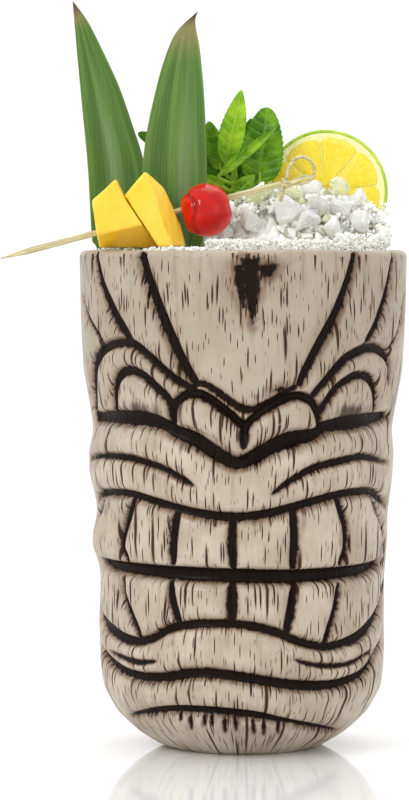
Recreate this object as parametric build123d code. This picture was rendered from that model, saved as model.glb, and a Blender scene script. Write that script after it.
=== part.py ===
from build123d import *
import math
import os
import random

# Tiki mug: one slip-cast ceramic mug carved with a face, packed with crushed ice and
# dressed with pineapple leaves, mint, a slice of lime and a fruit pick.
# Origin at the centre of the foot, +Z up, the face looks along -Y. All sizes in mm.

os.makedirs("parts", exist_ok=True)

# ---- driving dimensions ----
mug_height = 134.0          # foot to rim
rim_radius = 44.0           # outside of the mug at the rim
rim_wall = 3.6              # wall thickness at the rim
floor_thickness = 6.0       # clay under the drink
foot_radius = 20.0          # outside of the ring that the mug stands on
foot_ring_width = 5.0
foot_recess = 1.5
groove_depth = 1.8          # depth of the carved lines
mouth_depth = 2.6           # depth of the slit between the teeth
brow_notch_depth = 1.6      # dished notch in the forehead
nose_height = 1.8           # how far the nose stands out

ice_depth = 28.0            # packed ice below the rim
ice_gap = 0.4               # melt gap between the ice and whatever stands in it
mound_height = 18.0         # heap of ice above the rim
mound_reach = (31.0, 22.0)  # half-lengths of the heap, across and front to back
rest_gap = 0.5              # air between the rim and what lies above it
chunk_size = 9.5            # large pieces of ice on the heap
crumb_size = 4.6            # small pieces along the rim

leaf_thickness = 1.4
leaf_curl = 22.0            # radius of the gutter across each pineapple leaf
left_leaf_height = 67.0     # above the rim
right_leaf_height = 64.0
leaf_root = 22.0            # length of leaf pushed into the ice

stem_diameter = 2.2
stem_root = 18.0            # length of mint stem pushed into the ice
stem_height = 24.0          # length of mint stem above the rim
mint_thickness = 0.7
petiole_diameter = 1.2

lime_radius = 17.0
lime_thickness = 5.0
rind_thickness = 0.9
pith_thickness = 1.3
lime_segments = 8
membrane = 0.8              # pith between two segments

pick_diameter = 1.6
pick_length = 77.6          # tip to the middle of the knot
pick_slope = 14.9           # degrees, rising to the right
pick_taper = 7.0            # length of the sharpened tip
bore_gap = 0.06             # around the pick, all round
fruit_gap = 0.2             # between neighbours on the pick
fruit_travel = 3.0          # how far each piece of fruit can be pushed along the pick
fruit_depth = 17.0          # front to back of each fruit chunk
cherry_diameter = 14.4

# The face is drawn on a mug 88 wide and 134 high, and stretched to the mug's own size.
wide = rim_radius / 44.0
tall = mug_height / 134.0
mouth_radius = rim_radius - rim_wall
sky = mug_height + 150.0    # above everything, for columns that must stay clear


def scaled(points):
    return [(x * wide, z * tall) for x, z in points]


def revolved(outline):
    """Solid of revolution about Z from a closed outline of wires in the XZ plane."""
    return revolve(make_face(Plane.XZ * outline), Axis.Z, 360)


# ---- mug ----
# Radius and height of the outer skin, from the foot to just under the rim's rounding.
skin = [(foot_radius, 0.0), (23.0 * wide, 1.2 * tall), (28.5 * wide, 4.6 * tall)]
skin += scaled([(34.0, 9.8), (37.5, 16.0), (38.3, 22.0), (38.3, 34.0), (38.3, 46.0),
                (39.2, 56.0), (39.2, 63.0), (40.4, 72.0), (40.9, 79.0), (40.2, 86.0),
                (41.4, 93.0), (43.0, 102.0), (43.7, 116.0), (44.0, 131.0)])
# Radius and height of the inside, from the floor's edge to the rim.
cavity = [(14.0 * wide, floor_thickness), (25.5 * wide, floor_thickness + 3.0 * tall)]
cavity += scaled([(31.4, 16.0), (33.4, 28.0), (33.8, 46.0), (34.8, 64.0), (36.4, 82.0),
                  (38.3, 100.0), (39.7, 116.0)])
cavity += [(mouth_radius, mug_height - 0.5 * rim_wall)]


def skin_solid(offset):
    """The mug's outer shape, filled, with its radii changed by offset."""
    points = [(r + offset, z) for r, z in skin]
    top = mug_height - 0.5 * rim_wall
    side = Spline(points + [(rim_radius + offset, top)])
    return revolved(side + Polyline((rim_radius + offset, top), (0, top), (0, 0), points[0]))


def make_mug_blank():
    """Turned blank: outer skin, inside, half-round rim and the recess in the foot."""
    lip = mug_height - 0.5 * rim_wall
    outer = Spline(skin + [(rim_radius, lip)])
    rim = ThreePointArc((rim_radius, lip), (rim_radius - 0.5 * rim_wall, mug_height),
                        (mouth_radius, lip))
    inner = Spline(list(reversed(cavity)))
    ring = foot_radius - foot_ring_width
    base = Polyline(cavity[0], (0, floor_thickness), (0, foot_recess),
                    (ring - foot_recess, foot_recess), (ring, 0), (foot_radius, 0))
    return revolved(outer + rim + inner + base)


def stroke(points, width, taper=0.35):
    """Closed outline of a knife stroke along points, narrowing to taper at both ends."""
    points = scaled(points)
    left, right = [], []
    last = len(points) - 1
    for i, (x, z) in enumerate(points):
        x0, z0 = points[max(i - 1, 0)]
        x1, z1 = points[min(i + 1, last)]
        length = math.hypot(x1 - x0, z1 - z0)
        nx, nz = (z0 - z1) / length, (x1 - x0) / length
        share = taper + (1 - taper) * math.sin(math.pi * i / last)
        half = 0.5 * width * share
        left.append((x + nx * half, z + nz * half))
        right.append((x - nx * half, z - nz * half))
    edges = Spline(left) + Line(left[-1], right[-1]) + Spline(right[::-1]) + Line(right[0], left[0])
    return make_face(Plane.XZ * edges)


def front_prism(face):
    """A face in the XZ plane pushed forward through the front of the mug."""
    return extrude(face, 1.5 * rim_radius, dir=(0, -1, 0))


# Knife strokes of the face: points across and up, and the width of the cut.
forehead = [
    ([(-26.5, 133.0), (-22.0, 119.0), (-16.5, 107.0), (-12.8, 100.5)], 3.2),
    ([(-38.0, 132.5), (-36.5, 124.0), (-32.5, 115.5), (-29.5, 111.0)], 2.6),
    ([(28.0, 133.0), (23.5, 118.0), (18.0, 107.0), (14.5, 100.0)], 3.0),
    ([(38.0, 132.5), (37.0, 122.5), (34.0, 114.0), (32.0, 110.0)], 2.4),
]
eyes = [
    ([(-36.8, 91.0), (-37.6, 100.0), (-35.5, 108.0), (-29.5, 109.5), (-22.0, 104.0),
      (-14.5, 99.0)], 2.6),
    ([(18.5, 97.0), (25.0, 104.0), (33.0, 108.3), (37.0, 106.0), (37.8, 100.0)], 2.6),
    ([(-33.0, 91.5), (-33.2, 100.0), (-29.0, 102.3), (-23.0, 98.0), (-19.0, 92.5)], 2.2),
    ([(20.5, 92.5), (26.0, 99.0), (32.5, 101.0), (34.4, 96.0), (34.0, 91.0)], 2.2),
    ([(-37.0, 88.8), (-28.0, 89.3), (-20.0, 88.0)], 3.4),
    ([(20.5, 88.0), (28.5, 88.6), (36.5, 89.0)], 3.4),
]
nose_lines = [
    ([(-12.5, 98.8), (-7.0, 97.3), (0.5, 92.5), (6.0, 94.8), (11.0, 97.8)], 2.4),
    ([(-19.5, 86.6), (-12.0, 84.0), (-7.0, 80.2), (-2.0, 78.4), (3.0, 80.3), (8.0, 83.2),
      (19.5, 85.0)], 4.0),
    ([(0.2, 89.0), (0.2, 85.5), (0.0, 82.5)], 2.0),
]
cheeks = [
    ([(-38.5, 78.5), (-30.0, 79.6), (-22.0, 77.3), (-13.5, 73.5)], 2.2),
    ([(8.0, 71.0), (16.0, 76.2), (27.0, 79.2), (37.0, 77.5)], 2.4),
]
lips = [
    ([(-37.0, 68.0), (-24.0, 68.3), (-12.0, 65.0), (0.0, 64.4), (12.0, 66.3), (25.0, 69.4),
      (36.5, 67.5)], 2.2),
    ([(-37.0, 38.0), (-33.0, 31.5), (-26.0, 31.0), (-18.0, 35.3), (-3.0, 36.6), (9.0, 34.2),
      (21.0, 30.0), (31.0, 32.0), (36.0, 39.0)], 2.2),
    ([(-37.3, 28.0), (-33.0, 22.3), (-24.0, 21.5), (-10.0, 23.4), (3.0, 22.0), (17.0, 19.3),
      (28.0, 20.3), (36.3, 27.5)], 2.8),
    ([(-29.0, 11.5), (-18.0, 14.3), (-4.0, 14.2), (10.0, 12.0), (23.5, 8.0)], 2.6),
]
upper_gaps = [(-30.5, -31.3), (-17.5, -18.5), (-2.6, -2.8), (13.0, 13.3), (25.0, 26.3)]
lower_gaps = [(-31.0, -28.0), (-19.0, -17.0), (-3.0, -3.0), (13.3, 11.8), (24.7, 22.0)]
teeth = [([(top, 66.5), (0.5 * (top + low), 59.5), (low, 52.5)], 2.2) for top, low in upper_gaps]
teeth += [([(top, 46.3), (0.5 * (top + low), 41.0), (low, 34.0)], 2.2) for top, low in lower_gaps]
mouth = ([(-36.0, 50.0), (-24.0, 49.4), (0.0, 49.0), (24.0, 49.0), (35.0, 49.8)], 3.6)
brow_notch = [(-12.5, 133.0), (-6.5, 122.5), (2.0, 113.5), (9.0, 121.0), (16.0, 133.0)]
nose = [(-18.6, 88.0), (-18.0, 94.0), (-14.5, 97.0), (-9.0, 96.0), (0.2, 90.5), (8.0, 94.8),
        (13.0, 96.8), (18.0, 95.3), (19.8, 87.5), (12.0, 88.6), (5.0, 85.8), (0.0, 80.5),
        (-6.0, 84.6), (-12.0, 88.0)]


def make_mug():
    mug = make_mug_blank()
    wings = front_prism(make_face(Plane.XZ * Polyline(*scaled(nose), close=True)))
    mug += (wings & skin_solid(nose_height)) - skin_solid(-0.5 * rim_wall)
    carved = skin_solid(nose_height + 1.0) - skin_solid(-groove_depth)
    for points, width in forehead + eyes + nose_lines + cheeks + lips + teeth:
        mug -= front_prism(stroke(points, width)) & carved
    points, width = mouth
    slit = skin_solid(nose_height) - skin_solid(-mouth_depth)
    mug -= front_prism(stroke(points, width)) & slit
    notch = skin_solid(nose_height) - skin_solid(-brow_notch_depth)
    mug -= front_prism(make_face(Plane.XZ * Polyline(*scaled(brow_notch), close=True))) & notch
    return mug


# ---- pineapple leaves ----
bed_top = mug_height
left_leaf_x = -mouth_radius
left_leaf_y = 2.0
right_leaf_x = left_leaf_x + 22.4
right_leaf_y = -4.0

# Across, from the leaf's own x, and up, as a share of the height above the rim.
left_leaf_tip = (-5.4, 1.0)
left_leaf_edges = ([(-4.3, 0.80), (-3.0, 0.59), (-1.4, 0.33), (-0.3, 0.04), (1.0, 0.0)],
                   [(-1.4, 0.92), (2.7, 0.80), (7.0, 0.66), (10.5, 0.51), (13.6, 0.36),
                    (14.9, 0.20), (14.4, 0.06), (13.4, 0.0)])
left_leaf_root = (4.4, 10.4)
right_leaf_tip = (5.9, 1.0)
right_leaf_edges = ([(0.0, 0.91), (-3.5, 0.78), (-6.2, 0.62), (-8.1, 0.47), (-9.0, 0.33),
                     (-8.8, 0.15), (-7.5, 0.0)],
                    [(5.2, 0.95), (6.5, 0.83), (7.6, 0.64), (8.1, 0.45), (8.3, 0.28),
                     (7.3, 0.06), (6.5, 0.0)])
right_leaf_root = (-4.0, 3.5)


def make_pineapple_leaf(x, y, height, tip, edges, root):
    """Stiff leaf with a shallow gutter: the outline cut from an upright shell of thickness."""
    def edge(points, root_x):
        line = [(x + dx, bed_top + share * height) for dx, share in [tip] + points]
        return line + [(x + root_x, bed_top - leaf_root)]

    left, right = edge(edges[0], root[0]), edge(edges[1], root[1])
    outline = Spline(left) + Line(left[-1], right[-1]) + Spline(right[::-1])
    blade = extrude(make_face(Plane.XZ * outline), 0.5 * leaf_curl, both=True)
    middle = 0.5 * (edges[0][-1][0] + edges[1][-1][0])
    shell = Cylinder(leaf_curl + leaf_thickness, 4 * mug_height) - Cylinder(leaf_curl, 4 * mug_height)
    return (Pos(0, y, 0) * blade) & (Pos(x + middle, y - leaf_curl, 0) * shell)


# ---- mint ----
stem_x, stem_y = -2.0, 7.0
# Name, height of the joint on the stem, base and tip (x, y, height above the rim), width.
mint_leaves = [
    ("mint_leaf_tall", 21.0, (-4.6, 5.4, 23.5), (-0.3, 4.6, 43.5), 8.0),
    ("mint_leaf_broad", 16.0, (4.4, 4.4, 18.5), (6.6, 3.0, 38.6), 12.5),
    ("mint_leaf_narrow", 18.0, (-6.6, 1.6, 20.0), (9.2, 1.0, 33.2), 3.4),
    ("mint_leaf_side", 19.0, (-5.8, 7.2, 22.0), (-9.3, 7.4, 35.0), 6.0),
    ("mint_leaf_low", 14.5, (-1.6, 2.0, 15.4), (3.2, 1.6, 20.4), 5.0),
    ("mint_leaf_spur", 16.4, (-5.0, 3.4, 17.0), (-10.8, 3.0, 20.2), 3.6),
    ("mint_leaf_back", 18.5, (-4.0, 11.4, 21.0), (-28.6, 11.4, 32.0), 7.0),
    ("mint_leaf_shaded", 15.0, (-3.4, 8.8, 16.0), (-7.8, 9.2, 30.0), 9.0),
    ("mint_leaf_inner", 15.5, (1.0, 10.0, 17.0), (3.0, 10.4, 34.0), 8.0),
]


def rod(start, end, radius):
    """Straight round rod between two points."""
    way = Vector(*end) - Vector(*start)
    return extrude(Plane(origin=start, z_dir=way) * Circle(radius), way.length)


def make_stem():
    foot = (stem_x, stem_y, bed_top - stem_root)
    return rod(foot, (stem_x, stem_y, bed_top + stem_height), 0.5 * stem_diameter)


def make_mint_leaf(node_z, base, tip, width, stem):
    """Flat pointed blade facing forward, with a short stalk that ends on the stem."""
    base = Vector(base[0], base[1], bed_top + base[2])
    tip = Vector(tip[0], tip[1], bed_top + tip[2])
    way = tip - base
    facing = Vector(0, -1, 0)
    facing = facing - way * (facing.dot(way) / way.dot(way))
    length = way.length
    half = [(0, 0), (0.16 * length, 0.34 * width), (0.42 * length, 0.5 * width),
            (0.76 * length, 0.3 * width), (length, 0)]
    outline = Spline(half) + Spline([(a, -b) for a, b in half[::-1]])
    blade = extrude(Plane(origin=base, x_dir=way, z_dir=facing) * make_face(outline),
                    0.5 * mint_thickness, both=True)
    stalk = rod((stem_x, stem_y, bed_top + node_z), tuple(base + way * 0.08),
                0.5 * petiole_diameter)
    return (blade + stalk) - stem


# ---- lime slice ----
lime_x = mouth_radius - 17.6
lime_y = 14.0
lime_z = bed_top + 15.9


def slice_disc(radius):
    return extrude(Plane.XZ * Circle(radius), 0.5 * lime_thickness, both=True)


def lime_wedge(index, radius):
    """One segment: a sector whose sides keep half a membrane away from the next one."""
    half = math.pi / lime_segments
    inner = 0.5 * membrane / math.sin(half)
    swing = half - math.asin(0.5 * membrane / radius)
    start, end = [(radius * math.sin(a), radius * math.cos(a)) for a in (-swing, swing)]
    outline = Polyline(end, (0, inner), start) + ThreePointArc(start, (0, radius), end)
    wedge = extrude(make_face(Plane.XZ * outline), 0.5 * lime_thickness, both=True)
    return Rot(0, (index + 0.35) * 360 / lime_segments, 0) * wedge


def make_lime():
    flesh_radius = lime_radius - rind_thickness - pith_thickness
    place = Pos(lime_x, lime_y, lime_z)
    wedges = [lime_wedge(i, flesh_radius) for i in range(lime_segments)]
    pith = slice_disc(lime_radius - rind_thickness)
    for wedge in wedges:
        pith -= wedge
    rind = slice_disc(lime_radius) - slice_disc(lime_radius - rind_thickness)
    return place * rind, place * pith, Compound(children=[place * wedge for wedge in wedges])


# ---- pick and fruit ----
pick_y = -18.0
knot = Vector(10.7, pick_y, bed_top + 17.8)
pick_way = Vector(math.cos(math.radians(pick_slope)), 0, math.sin(math.radians(pick_slope)))
fruit_bottom = mug_height + rest_gap


def on_pick(distance):
    """Point on the pick's axis, at a distance from the knot towards the tip."""
    return tuple(knot - pick_way * distance)


def make_pick():
    """Split bamboo: a round shaft with a sharpened tip, and the strand tied in a loop."""
    radius = 0.5 * pick_diameter
    shaft = rod(on_pick(pick_length - pick_taper), on_pick(0), radius)
    start = Plane(origin=on_pick(pick_length - pick_taper), z_dir=-pick_way)
    point = loft([start * Circle(radius), start.offset(pick_taper) * Circle(0.25 * radius)])
    loop = Pos(knot + Vector(4.6, 0, 3.4)) * Rot(90, 0, 0) * Torus(3.4, 0.8 * radius)
    wrap = rod(on_pick(1.0), tuple(knot + Vector(7.4, 0, 0.9)), 1.5 * radius)
    tail = rod(tuple(knot), tuple(knot + Vector(-0.9, 0, -4.6)), 0.75 * radius)
    return shaft + point + loop + wrap + tail


def bored(fruit):
    """Fruit with the hole that the pick has made through it."""
    hole = rod(on_pick(pick_length), on_pick(-5), 0.5 * pick_diameter + bore_gap)
    return fruit - hole


def make_chunk(outline, lean):
    """Chunk cut with a knife: a flat outline between two parallel cuts that lean back."""
    points = [(x, fruit_bottom + up) for x, up in outline]
    prism = extrude(make_face(Plane.XZ * Polyline(*points, close=True)), fruit_depth, both=True)
    cuts = Pos(0, pick_y, fruit_bottom + 8) * Rot(lean, 0, 0) * Box(400, fruit_depth, 200)
    return bored((Pos(0, pick_y, 0) * prism) & cuts)


outer_outline = [(-39.9, 12.5), (-33.6, 18.1), (-31.4 - fruit_gap, 13.8),
                 (-22.4 - fruit_gap, 0.0), (-38.1, 0.0)]
inner_outline = [(-31.4, 13.8), (-25.9, 20.2), (-21.1, 15.9), (-16.8, 6.4), (-15.3, 0.3),
                 (-22.4, 0.0)]
cherry_centre = Vector(-9.9, pick_y, fruit_bottom + 10.1)


def make_cherry():
    ball = Rot(0, 0, 90) * Sphere(0.5 * cherry_diameter)
    return bored(Pos(cherry_centre) * ball)


# ---- crushed ice ----
mound_x = mouth_radius - 28.4           # the heap leans to the right and to the back
mound_y = 8.0
mouth_edge = mouth_radius - ice_gap


def inner_radius(z):
    """Inside radius of the mug at height z, by straight lines between the cavity's points."""
    for (r0, z0), (r1, z1) in zip(cavity, cavity[1:]):
        if z <= z1:
            return r0 + (r1 - r0) * (z - z0) / (z1 - z0)
    return mouth_radius


def column_over(piece, reach=0.0):
    """Clear shaft that a piece needs to lift straight out, and to slide right by reach."""
    box = piece.bounding_box()
    size = (box.size.X + reach + 2 * ice_gap, box.size.Y + 2 * ice_gap,
            sky - box.min.Z + ice_gap)
    corner = Pos(box.min.X - ice_gap, box.min.Y - ice_gap, box.min.Z - ice_gap)
    return corner * Box(*size, align=(Align.MIN, Align.MIN, Align.MIN))


def splinter(size, x, y, z, dice):
    """One broken piece of ice: the overlap of two boxes turned at random."""
    blocks = []
    for _ in range(2):
        turn = Rot(dice.uniform(0, 90), dice.uniform(0, 90), dice.uniform(0, 90))
        sides = [size * dice.uniform(low, high) for low, high in ((0.9, 1.1), (0.8, 1.0), (0.65, 0.8))]
        blocks.append(Pos(x, y, z) * turn * Box(*sides))
    return blocks[0] & blocks[1]


def mound_surface(x, y):
    """Height of the heap above a point, or the bed's top beyond the heap's edge."""
    share = ((x - mound_x) / mound_reach[0]) ** 2 + ((y - mound_y) / mound_reach[1]) ** 2
    return bed_top + mound_height * math.sqrt(max(0.0, 1 - share))


def make_ice_bed():
    levels = [bed_top - ice_depth * i / 4 for i in range(5)]
    side = [(inner_radius(z) - ice_gap, z) for z in levels]
    return revolved(Polyline((0, levels[0]), *side, (0, levels[-1]), close=True))


def make_mound():
    heap = Pos(mound_x, mound_y, bed_top) * scale(Sphere(1.0), (*mound_reach, mound_height))
    return heap & Pos(0, 0, bed_top + 50) * Cylinder(mouth_edge, 100)


def scatter(count, gap, dice, taken, choose):
    """Up to count points, each at least gap from the others and from those taken."""
    found = []
    for _ in range(300):
        point = choose(dice)
        if all(math.dist(point, other) > gap for other in taken + found):
            found.append(point)
        if len(found) == count:
            break
    taken += found
    return found


def chunk_spot(x_range):
    def choose(dice):
        x, y = dice.uniform(*x_range), dice.uniform(-13.0, 24.0)
        return x, y, mound_surface(x, y) - 0.12 * chunk_size
    return choose


def crumb_spot(start, end):
    def choose(dice):
        angle = math.radians(dice.uniform(start, end))
        radius = dice.uniform(0.76, 0.98) * mouth_radius
        return radius * math.sin(angle), -radius * math.cos(angle), bed_top + 0.3 * crumb_size
    return choose


def broken(shape, limit):
    """The solids of a cut shape, leaving out melted slivers smaller than limit."""
    return [solid for solid in shape.solids() if solid.volume > limit]


def trimmed(piece, cutters):
    """A piece after every cutter has been taken from it, or None when nothing is left."""
    for cutter in cutters:
        if piece and piece.volume > 0:
            piece = piece - cutter
    return piece


def make_ice(columns):
    """Bed, heap and loose pieces, all cut clear of the garnish and of each other."""
    rim_zone = Pos(0, 0, mug_height + rest_gap) * (
        Cylinder(2 * rim_radius, 60, align=(Align.CENTER, Align.CENTER, Align.MAX))
        - Cylinder(mouth_edge, 60, align=(Align.CENTER, Align.CENTER, Align.MAX)))
    under = Pos(0, 0, bed_top) * Box(200, 200, 60, align=(Align.CENTER, Align.CENTER, Align.MAX))
    dice = random.Random(7)
    taken = []
    ice = {}
    chunk_gap, crumb_gap = 1.25 * chunk_size, 1.25 * crumb_size
    chunk_zones = {"ice_chunks_left": (-8.0, 6.0), "ice_chunks_middle": (8.0, 20.0),
                   "ice_chunks_right": (22.0, 37.0)}
    for name, zone in chunk_zones.items():
        spots = scatter(5, chunk_gap, dice, taken, chunk_spot(zone))
        ice[name] = [splinter(chunk_size, *spot, dice) for spot in spots]
    crumb_zones = {"ice_crumbs_front": (-8.0, 88.0), "ice_crumbs_back": (95.0, 200.0)}
    taken = [(x, y, z) for x, y, z in taken if math.hypot(x, y) > 0.6 * mouth_radius]
    for name, zone in crumb_zones.items():
        spots = scatter(20, crumb_gap, dice, taken, crumb_spot(*zone))
        ice[name] = [splinter(crumb_size, *spot, dice) for spot in spots]
    mound = make_mound()
    bed = make_ice_bed()
    for column in columns:
        bed -= column
        mound -= column
    placed = []
    for name, group in ice.items():
        kept = []
        for piece in group:
            piece = trimmed(piece, [under, rim_zone] + columns + placed)
            kept += broken(piece, 4.0) if piece else []
        for piece in kept:
            mound -= piece
        placed += kept
        ice[name] = Compound(children=kept)
    ice["ice_bed"] = bed
    ice["ice_mound"] = Compound(children=broken(mound, 40.0))
    return ice


# ---- assembly ----
mug_body = make_mug()
pineapple_leaf_left = make_pineapple_leaf(left_leaf_x, left_leaf_y, left_leaf_height,
                                          left_leaf_tip, left_leaf_edges, left_leaf_root)
pineapple_leaf_right = make_pineapple_leaf(right_leaf_x, right_leaf_y, right_leaf_height,
                                           right_leaf_tip, right_leaf_edges, right_leaf_root)
mint_stem = make_stem()
lime_rind, lime_pith, lime_flesh = make_lime()
pieces = {
    "mug_body": mug_body,
    "pineapple_leaf_left": pineapple_leaf_left,
    "pineapple_leaf_right": pineapple_leaf_right,
    "mint_stem": mint_stem,
    "lime_rind": lime_rind,
    "lime_pith": lime_pith,
    "lime_segments": lime_flesh,
    "bamboo_pick": make_pick(),
    "fruit_chunk_outer": make_chunk(outer_outline, 10.0),
    "fruit_chunk_inner": make_chunk(inner_outline, 4.0),
    "cherry": make_cherry(),
}
for name, node_z, base, tip, width in mint_leaves:
    leaf = make_mint_leaf(node_z, base, tip, width, mint_stem)
    for other in [pieces[done[0]] for done in mint_leaves if done[0] in pieces]:
        leaf -= other
    pieces[name] = leaf

standing = [name for name in pieces if name not in ("mug_body", "bamboo_pick")]
travel = {"fruit_chunk_outer": fruit_travel, "fruit_chunk_inner": 2 * fruit_travel,
          "cherry": 3 * fruit_travel + 1.0}
columns = [column_over(pieces[name], travel.get(name, 0.0)) for name in standing]
columns.append(column_over(rod(on_pick(13), tuple(knot + Vector(9, 0, 3)), 2.0)))
pieces.update(make_ice(columns))

for name, shape in pieces.items():
    shape.label = name
    export_step(shape, f"parts/{name}.step")
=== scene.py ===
import math
import random

import bmesh
import bpy
import numpy as np
from mathutils import Matrix, Vector, noise


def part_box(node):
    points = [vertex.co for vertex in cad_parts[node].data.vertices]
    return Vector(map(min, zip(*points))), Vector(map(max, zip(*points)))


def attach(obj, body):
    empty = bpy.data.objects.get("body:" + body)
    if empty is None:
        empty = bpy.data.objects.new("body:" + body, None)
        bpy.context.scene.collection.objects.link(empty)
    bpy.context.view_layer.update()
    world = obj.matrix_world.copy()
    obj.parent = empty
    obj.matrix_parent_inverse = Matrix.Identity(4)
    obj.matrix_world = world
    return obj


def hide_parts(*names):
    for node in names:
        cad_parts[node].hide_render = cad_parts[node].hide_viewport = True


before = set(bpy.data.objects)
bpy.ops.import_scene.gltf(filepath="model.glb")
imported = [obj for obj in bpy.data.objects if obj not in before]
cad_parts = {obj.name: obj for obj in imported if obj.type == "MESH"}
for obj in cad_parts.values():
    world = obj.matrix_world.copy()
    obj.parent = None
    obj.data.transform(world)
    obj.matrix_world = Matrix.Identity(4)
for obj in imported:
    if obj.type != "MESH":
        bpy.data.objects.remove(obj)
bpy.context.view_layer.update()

MM = 0.001

# ---------------------------------------------------------------------------------------
# Studio: a glossy white table in an evenly lit white tent, with three soft boxes inside.
# The camera stands about a metre in front of the face, at the height of the rim.
# ---------------------------------------------------------------------------------------
table_radius = 7.0


def surface_object(name, points, faces, material):
    """A smooth-shaded mesh object from points in metres, with one material."""
    mesh = bpy.data.meshes.new(name)
    mesh.from_pydata([tuple(p) for p in points], [], [tuple(f) for f in faces])
    mesh.materials.append(material)
    mesh.polygons.foreach_set("use_smooth", [True] * len(mesh.polygons))
    mesh.update()
    made = bpy.data.objects.new(name, mesh)
    bpy.context.scene.collection.objects.link(made)
    return made


def add(tree, kind, *values, **named):
    """A shader node with its settings and sockets filled in, by place or by name."""
    node = tree.nodes.new("ShaderNode" + kind)
    settings = {k: v for k, v in named.items() if k in node.bl_rna.properties}
    for key, value in settings.items():
        setattr(node, key, value)
    sockets = list(enumerate(values))
    sockets += [(k.replace("_", " "), v) for k, v in named.items() if k not in settings]
    for place, value in sockets:
        if isinstance(value, bpy.types.NodeSocket):
            tree.links.new(value, node.inputs[place])
        elif value is not None:
            node.inputs[place].default_value = value
    return node


def finish_material(name):
    """A new material, its node tree and its Principled shader."""
    material = bpy.data.materials.new(name)
    material.use_nodes = True
    return material, material.node_tree, material.node_tree.nodes["Principled BSDF"]


paper, tree, shader = finish_material("studio_paper")
cloud = add(tree, "TexNoise", Scale=2.0, Detail=2.0)
tint = add(tree, "MapRange", cloud.outputs[0], 0.3, 0.7, 0.91, 0.93)
grey = add(tree, "CombineColor", tint.outputs[0], tint.outputs[0], tint.outputs[0])
tree.links.new(grey.outputs[0], shader.inputs["Base Color"])
shader.inputs["Roughness"].default_value = 0.07

table_points, table_faces = [(0.0, 0.0, 0.0)], []
for ring in range(1, 13):
    for turn in range(48):
        angle = 2 * math.pi * turn / 48
        reach = table_radius * (ring / 12) ** 2
        table_points.append((reach * math.sin(angle), reach * math.cos(angle), 0.0))
        here, after = 48 * (ring - 1) + 1 + turn, 48 * (ring - 1) + 1 + (turn + 1) % 48
        table_faces.append((0, after, here) if ring == 1 else
                           (here - 48, after - 48, after, here))
table = surface_object("table_top", table_points, table_faces, paper)


def soft_box(name, place, aim, size, power):
    """A large square lamp that faces a point."""
    lamp = bpy.data.lights.new(name, "AREA")
    lamp.size = size
    lamp.energy = power
    made = bpy.data.objects.new(name, lamp)
    made.location = place
    made.rotation_euler = (Vector(aim) - Vector(place)).to_track_quat("-Z", "Y").to_euler()
    bpy.context.scene.collection.objects.link(made)


soft_box("key_left", (-0.85, -1.0, 0.95), (0, 0, 0.1), 0.55, 8.0)
soft_box("fill_right", (1.1, -1.1, 0.35), (0, 0, 0.1), 0.7, 1.2)
soft_box("top_light", (0.15, 0.35, 1.3), (0, 0, 0.12), 0.9, 4.5)
world = bpy.data.worlds.new("tent")
bpy.context.scene.world = world
world.use_nodes = True
world.node_tree.nodes["Background"].inputs[0].default_value = (1.0, 1.0, 1.0, 1.0)
world.node_tree.nodes["Background"].inputs[1].default_value = 1.06
bpy.context.scene.view_settings.view_transform = "Standard"

camera_distance = 0.950
camera_side = -0.01034
camera_height = 0.134
camera_pitch = math.radians(2.44)
lens = bpy.data.cameras.new("camera")
lens.lens = 158.2
camera = bpy.data.objects.new("camera", lens)
camera.location = (camera_side, -camera_distance, camera_height)
camera.rotation_euler = (math.radians(90) - camera_pitch, 0, 0)
bpy.context.scene.collection.objects.link(camera)
bpy.context.scene.camera = camera

# ---------------------------------------------------------------------------------------
# Mug: one slip-cast shell of cream stoneware. The face and the wood grain are modelled in
# the mould; a black-brown wash is rubbed into every cut and wiped off the high places,
# and a clear satin glaze goes over it all. Sizes here are in millimetres.
# ---------------------------------------------------------------------------------------
mug_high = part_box("mug_body")[1]
rim_height = mug_high[2] / MM
rim_radius = mug_high[0] / MM
rim_wall = 3.6
floor_height = 6.0
foot_radius, foot_ring_width, foot_recess = 20.0, 5.0, 1.5
front_pitch = 0.36                      # spacing of the mesh over the carved front
back_pitch = 1.3
front_reach = math.radians(100)
middle_radius = 41.0                    # at which distances round the mug are measured
narrow_radius = 28.0                    # no cut is on a narrower part of the wall

lip_height = rim_height - rim_wall / 2
front_profile = [(foot_radius, 0.0), (23.0, 1.2), (28.5, 4.6), (34.0, 9.8), (37.5, 16.0),
                 (38.3, 22.0), (38.3, 34.0), (38.3, 46.0), (39.2, 56.0), (39.2, 63.0),
                 (40.4, 72.0), (40.9, 79.0), (40.2, 86.0), (41.4, 93.0), (43.0, 102.0),
                 (43.7, 116.0), (rim_radius, lip_height)]
back_profile = [(foot_radius, 0.0), (23.0, 1.2), (28.5, 4.6), (34.0, 9.8), (37.3, 16.0),
                (38.5, 22.0), (38.9, 34.0), (39.4, 46.0), (39.8, 56.0), (40.1, 63.0),
                (40.5, 72.0), (40.9, 79.0), (41.2, 86.0), (41.7, 93.0), (42.4, 102.0),
                (43.3, 116.0), (rim_radius, lip_height)]


def smooth_profile(points, step):
    """Radius, height and distance along an outline, rounded off between its points."""
    r, z = np.array(points).T
    along = np.r_[0, np.cumsum(np.hypot(np.diff(r), np.diff(z)))]
    fine = np.linspace(0, along[-1], int(along[-1] / 0.1) + 1)
    window = np.hanning(61)
    window /= window.sum()
    curves = []
    for values in (r, z):
        line = np.interp(fine, along, values)
        # the ends are continued by reflection through the end points
        start = 2 * line[0] - line[30:0:-1]
        end = 2 * line[-1] - line[-2:-32:-1]
        curves.append(np.convolve(np.r_[start, line, end], window, "valid"))
    count = int(along[-1] / step) + 1
    pick = np.linspace(0, along[-1], count)
    return np.interp(pick, fine, curves[0]), np.interp(pick, fine, curves[1]), pick


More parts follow.
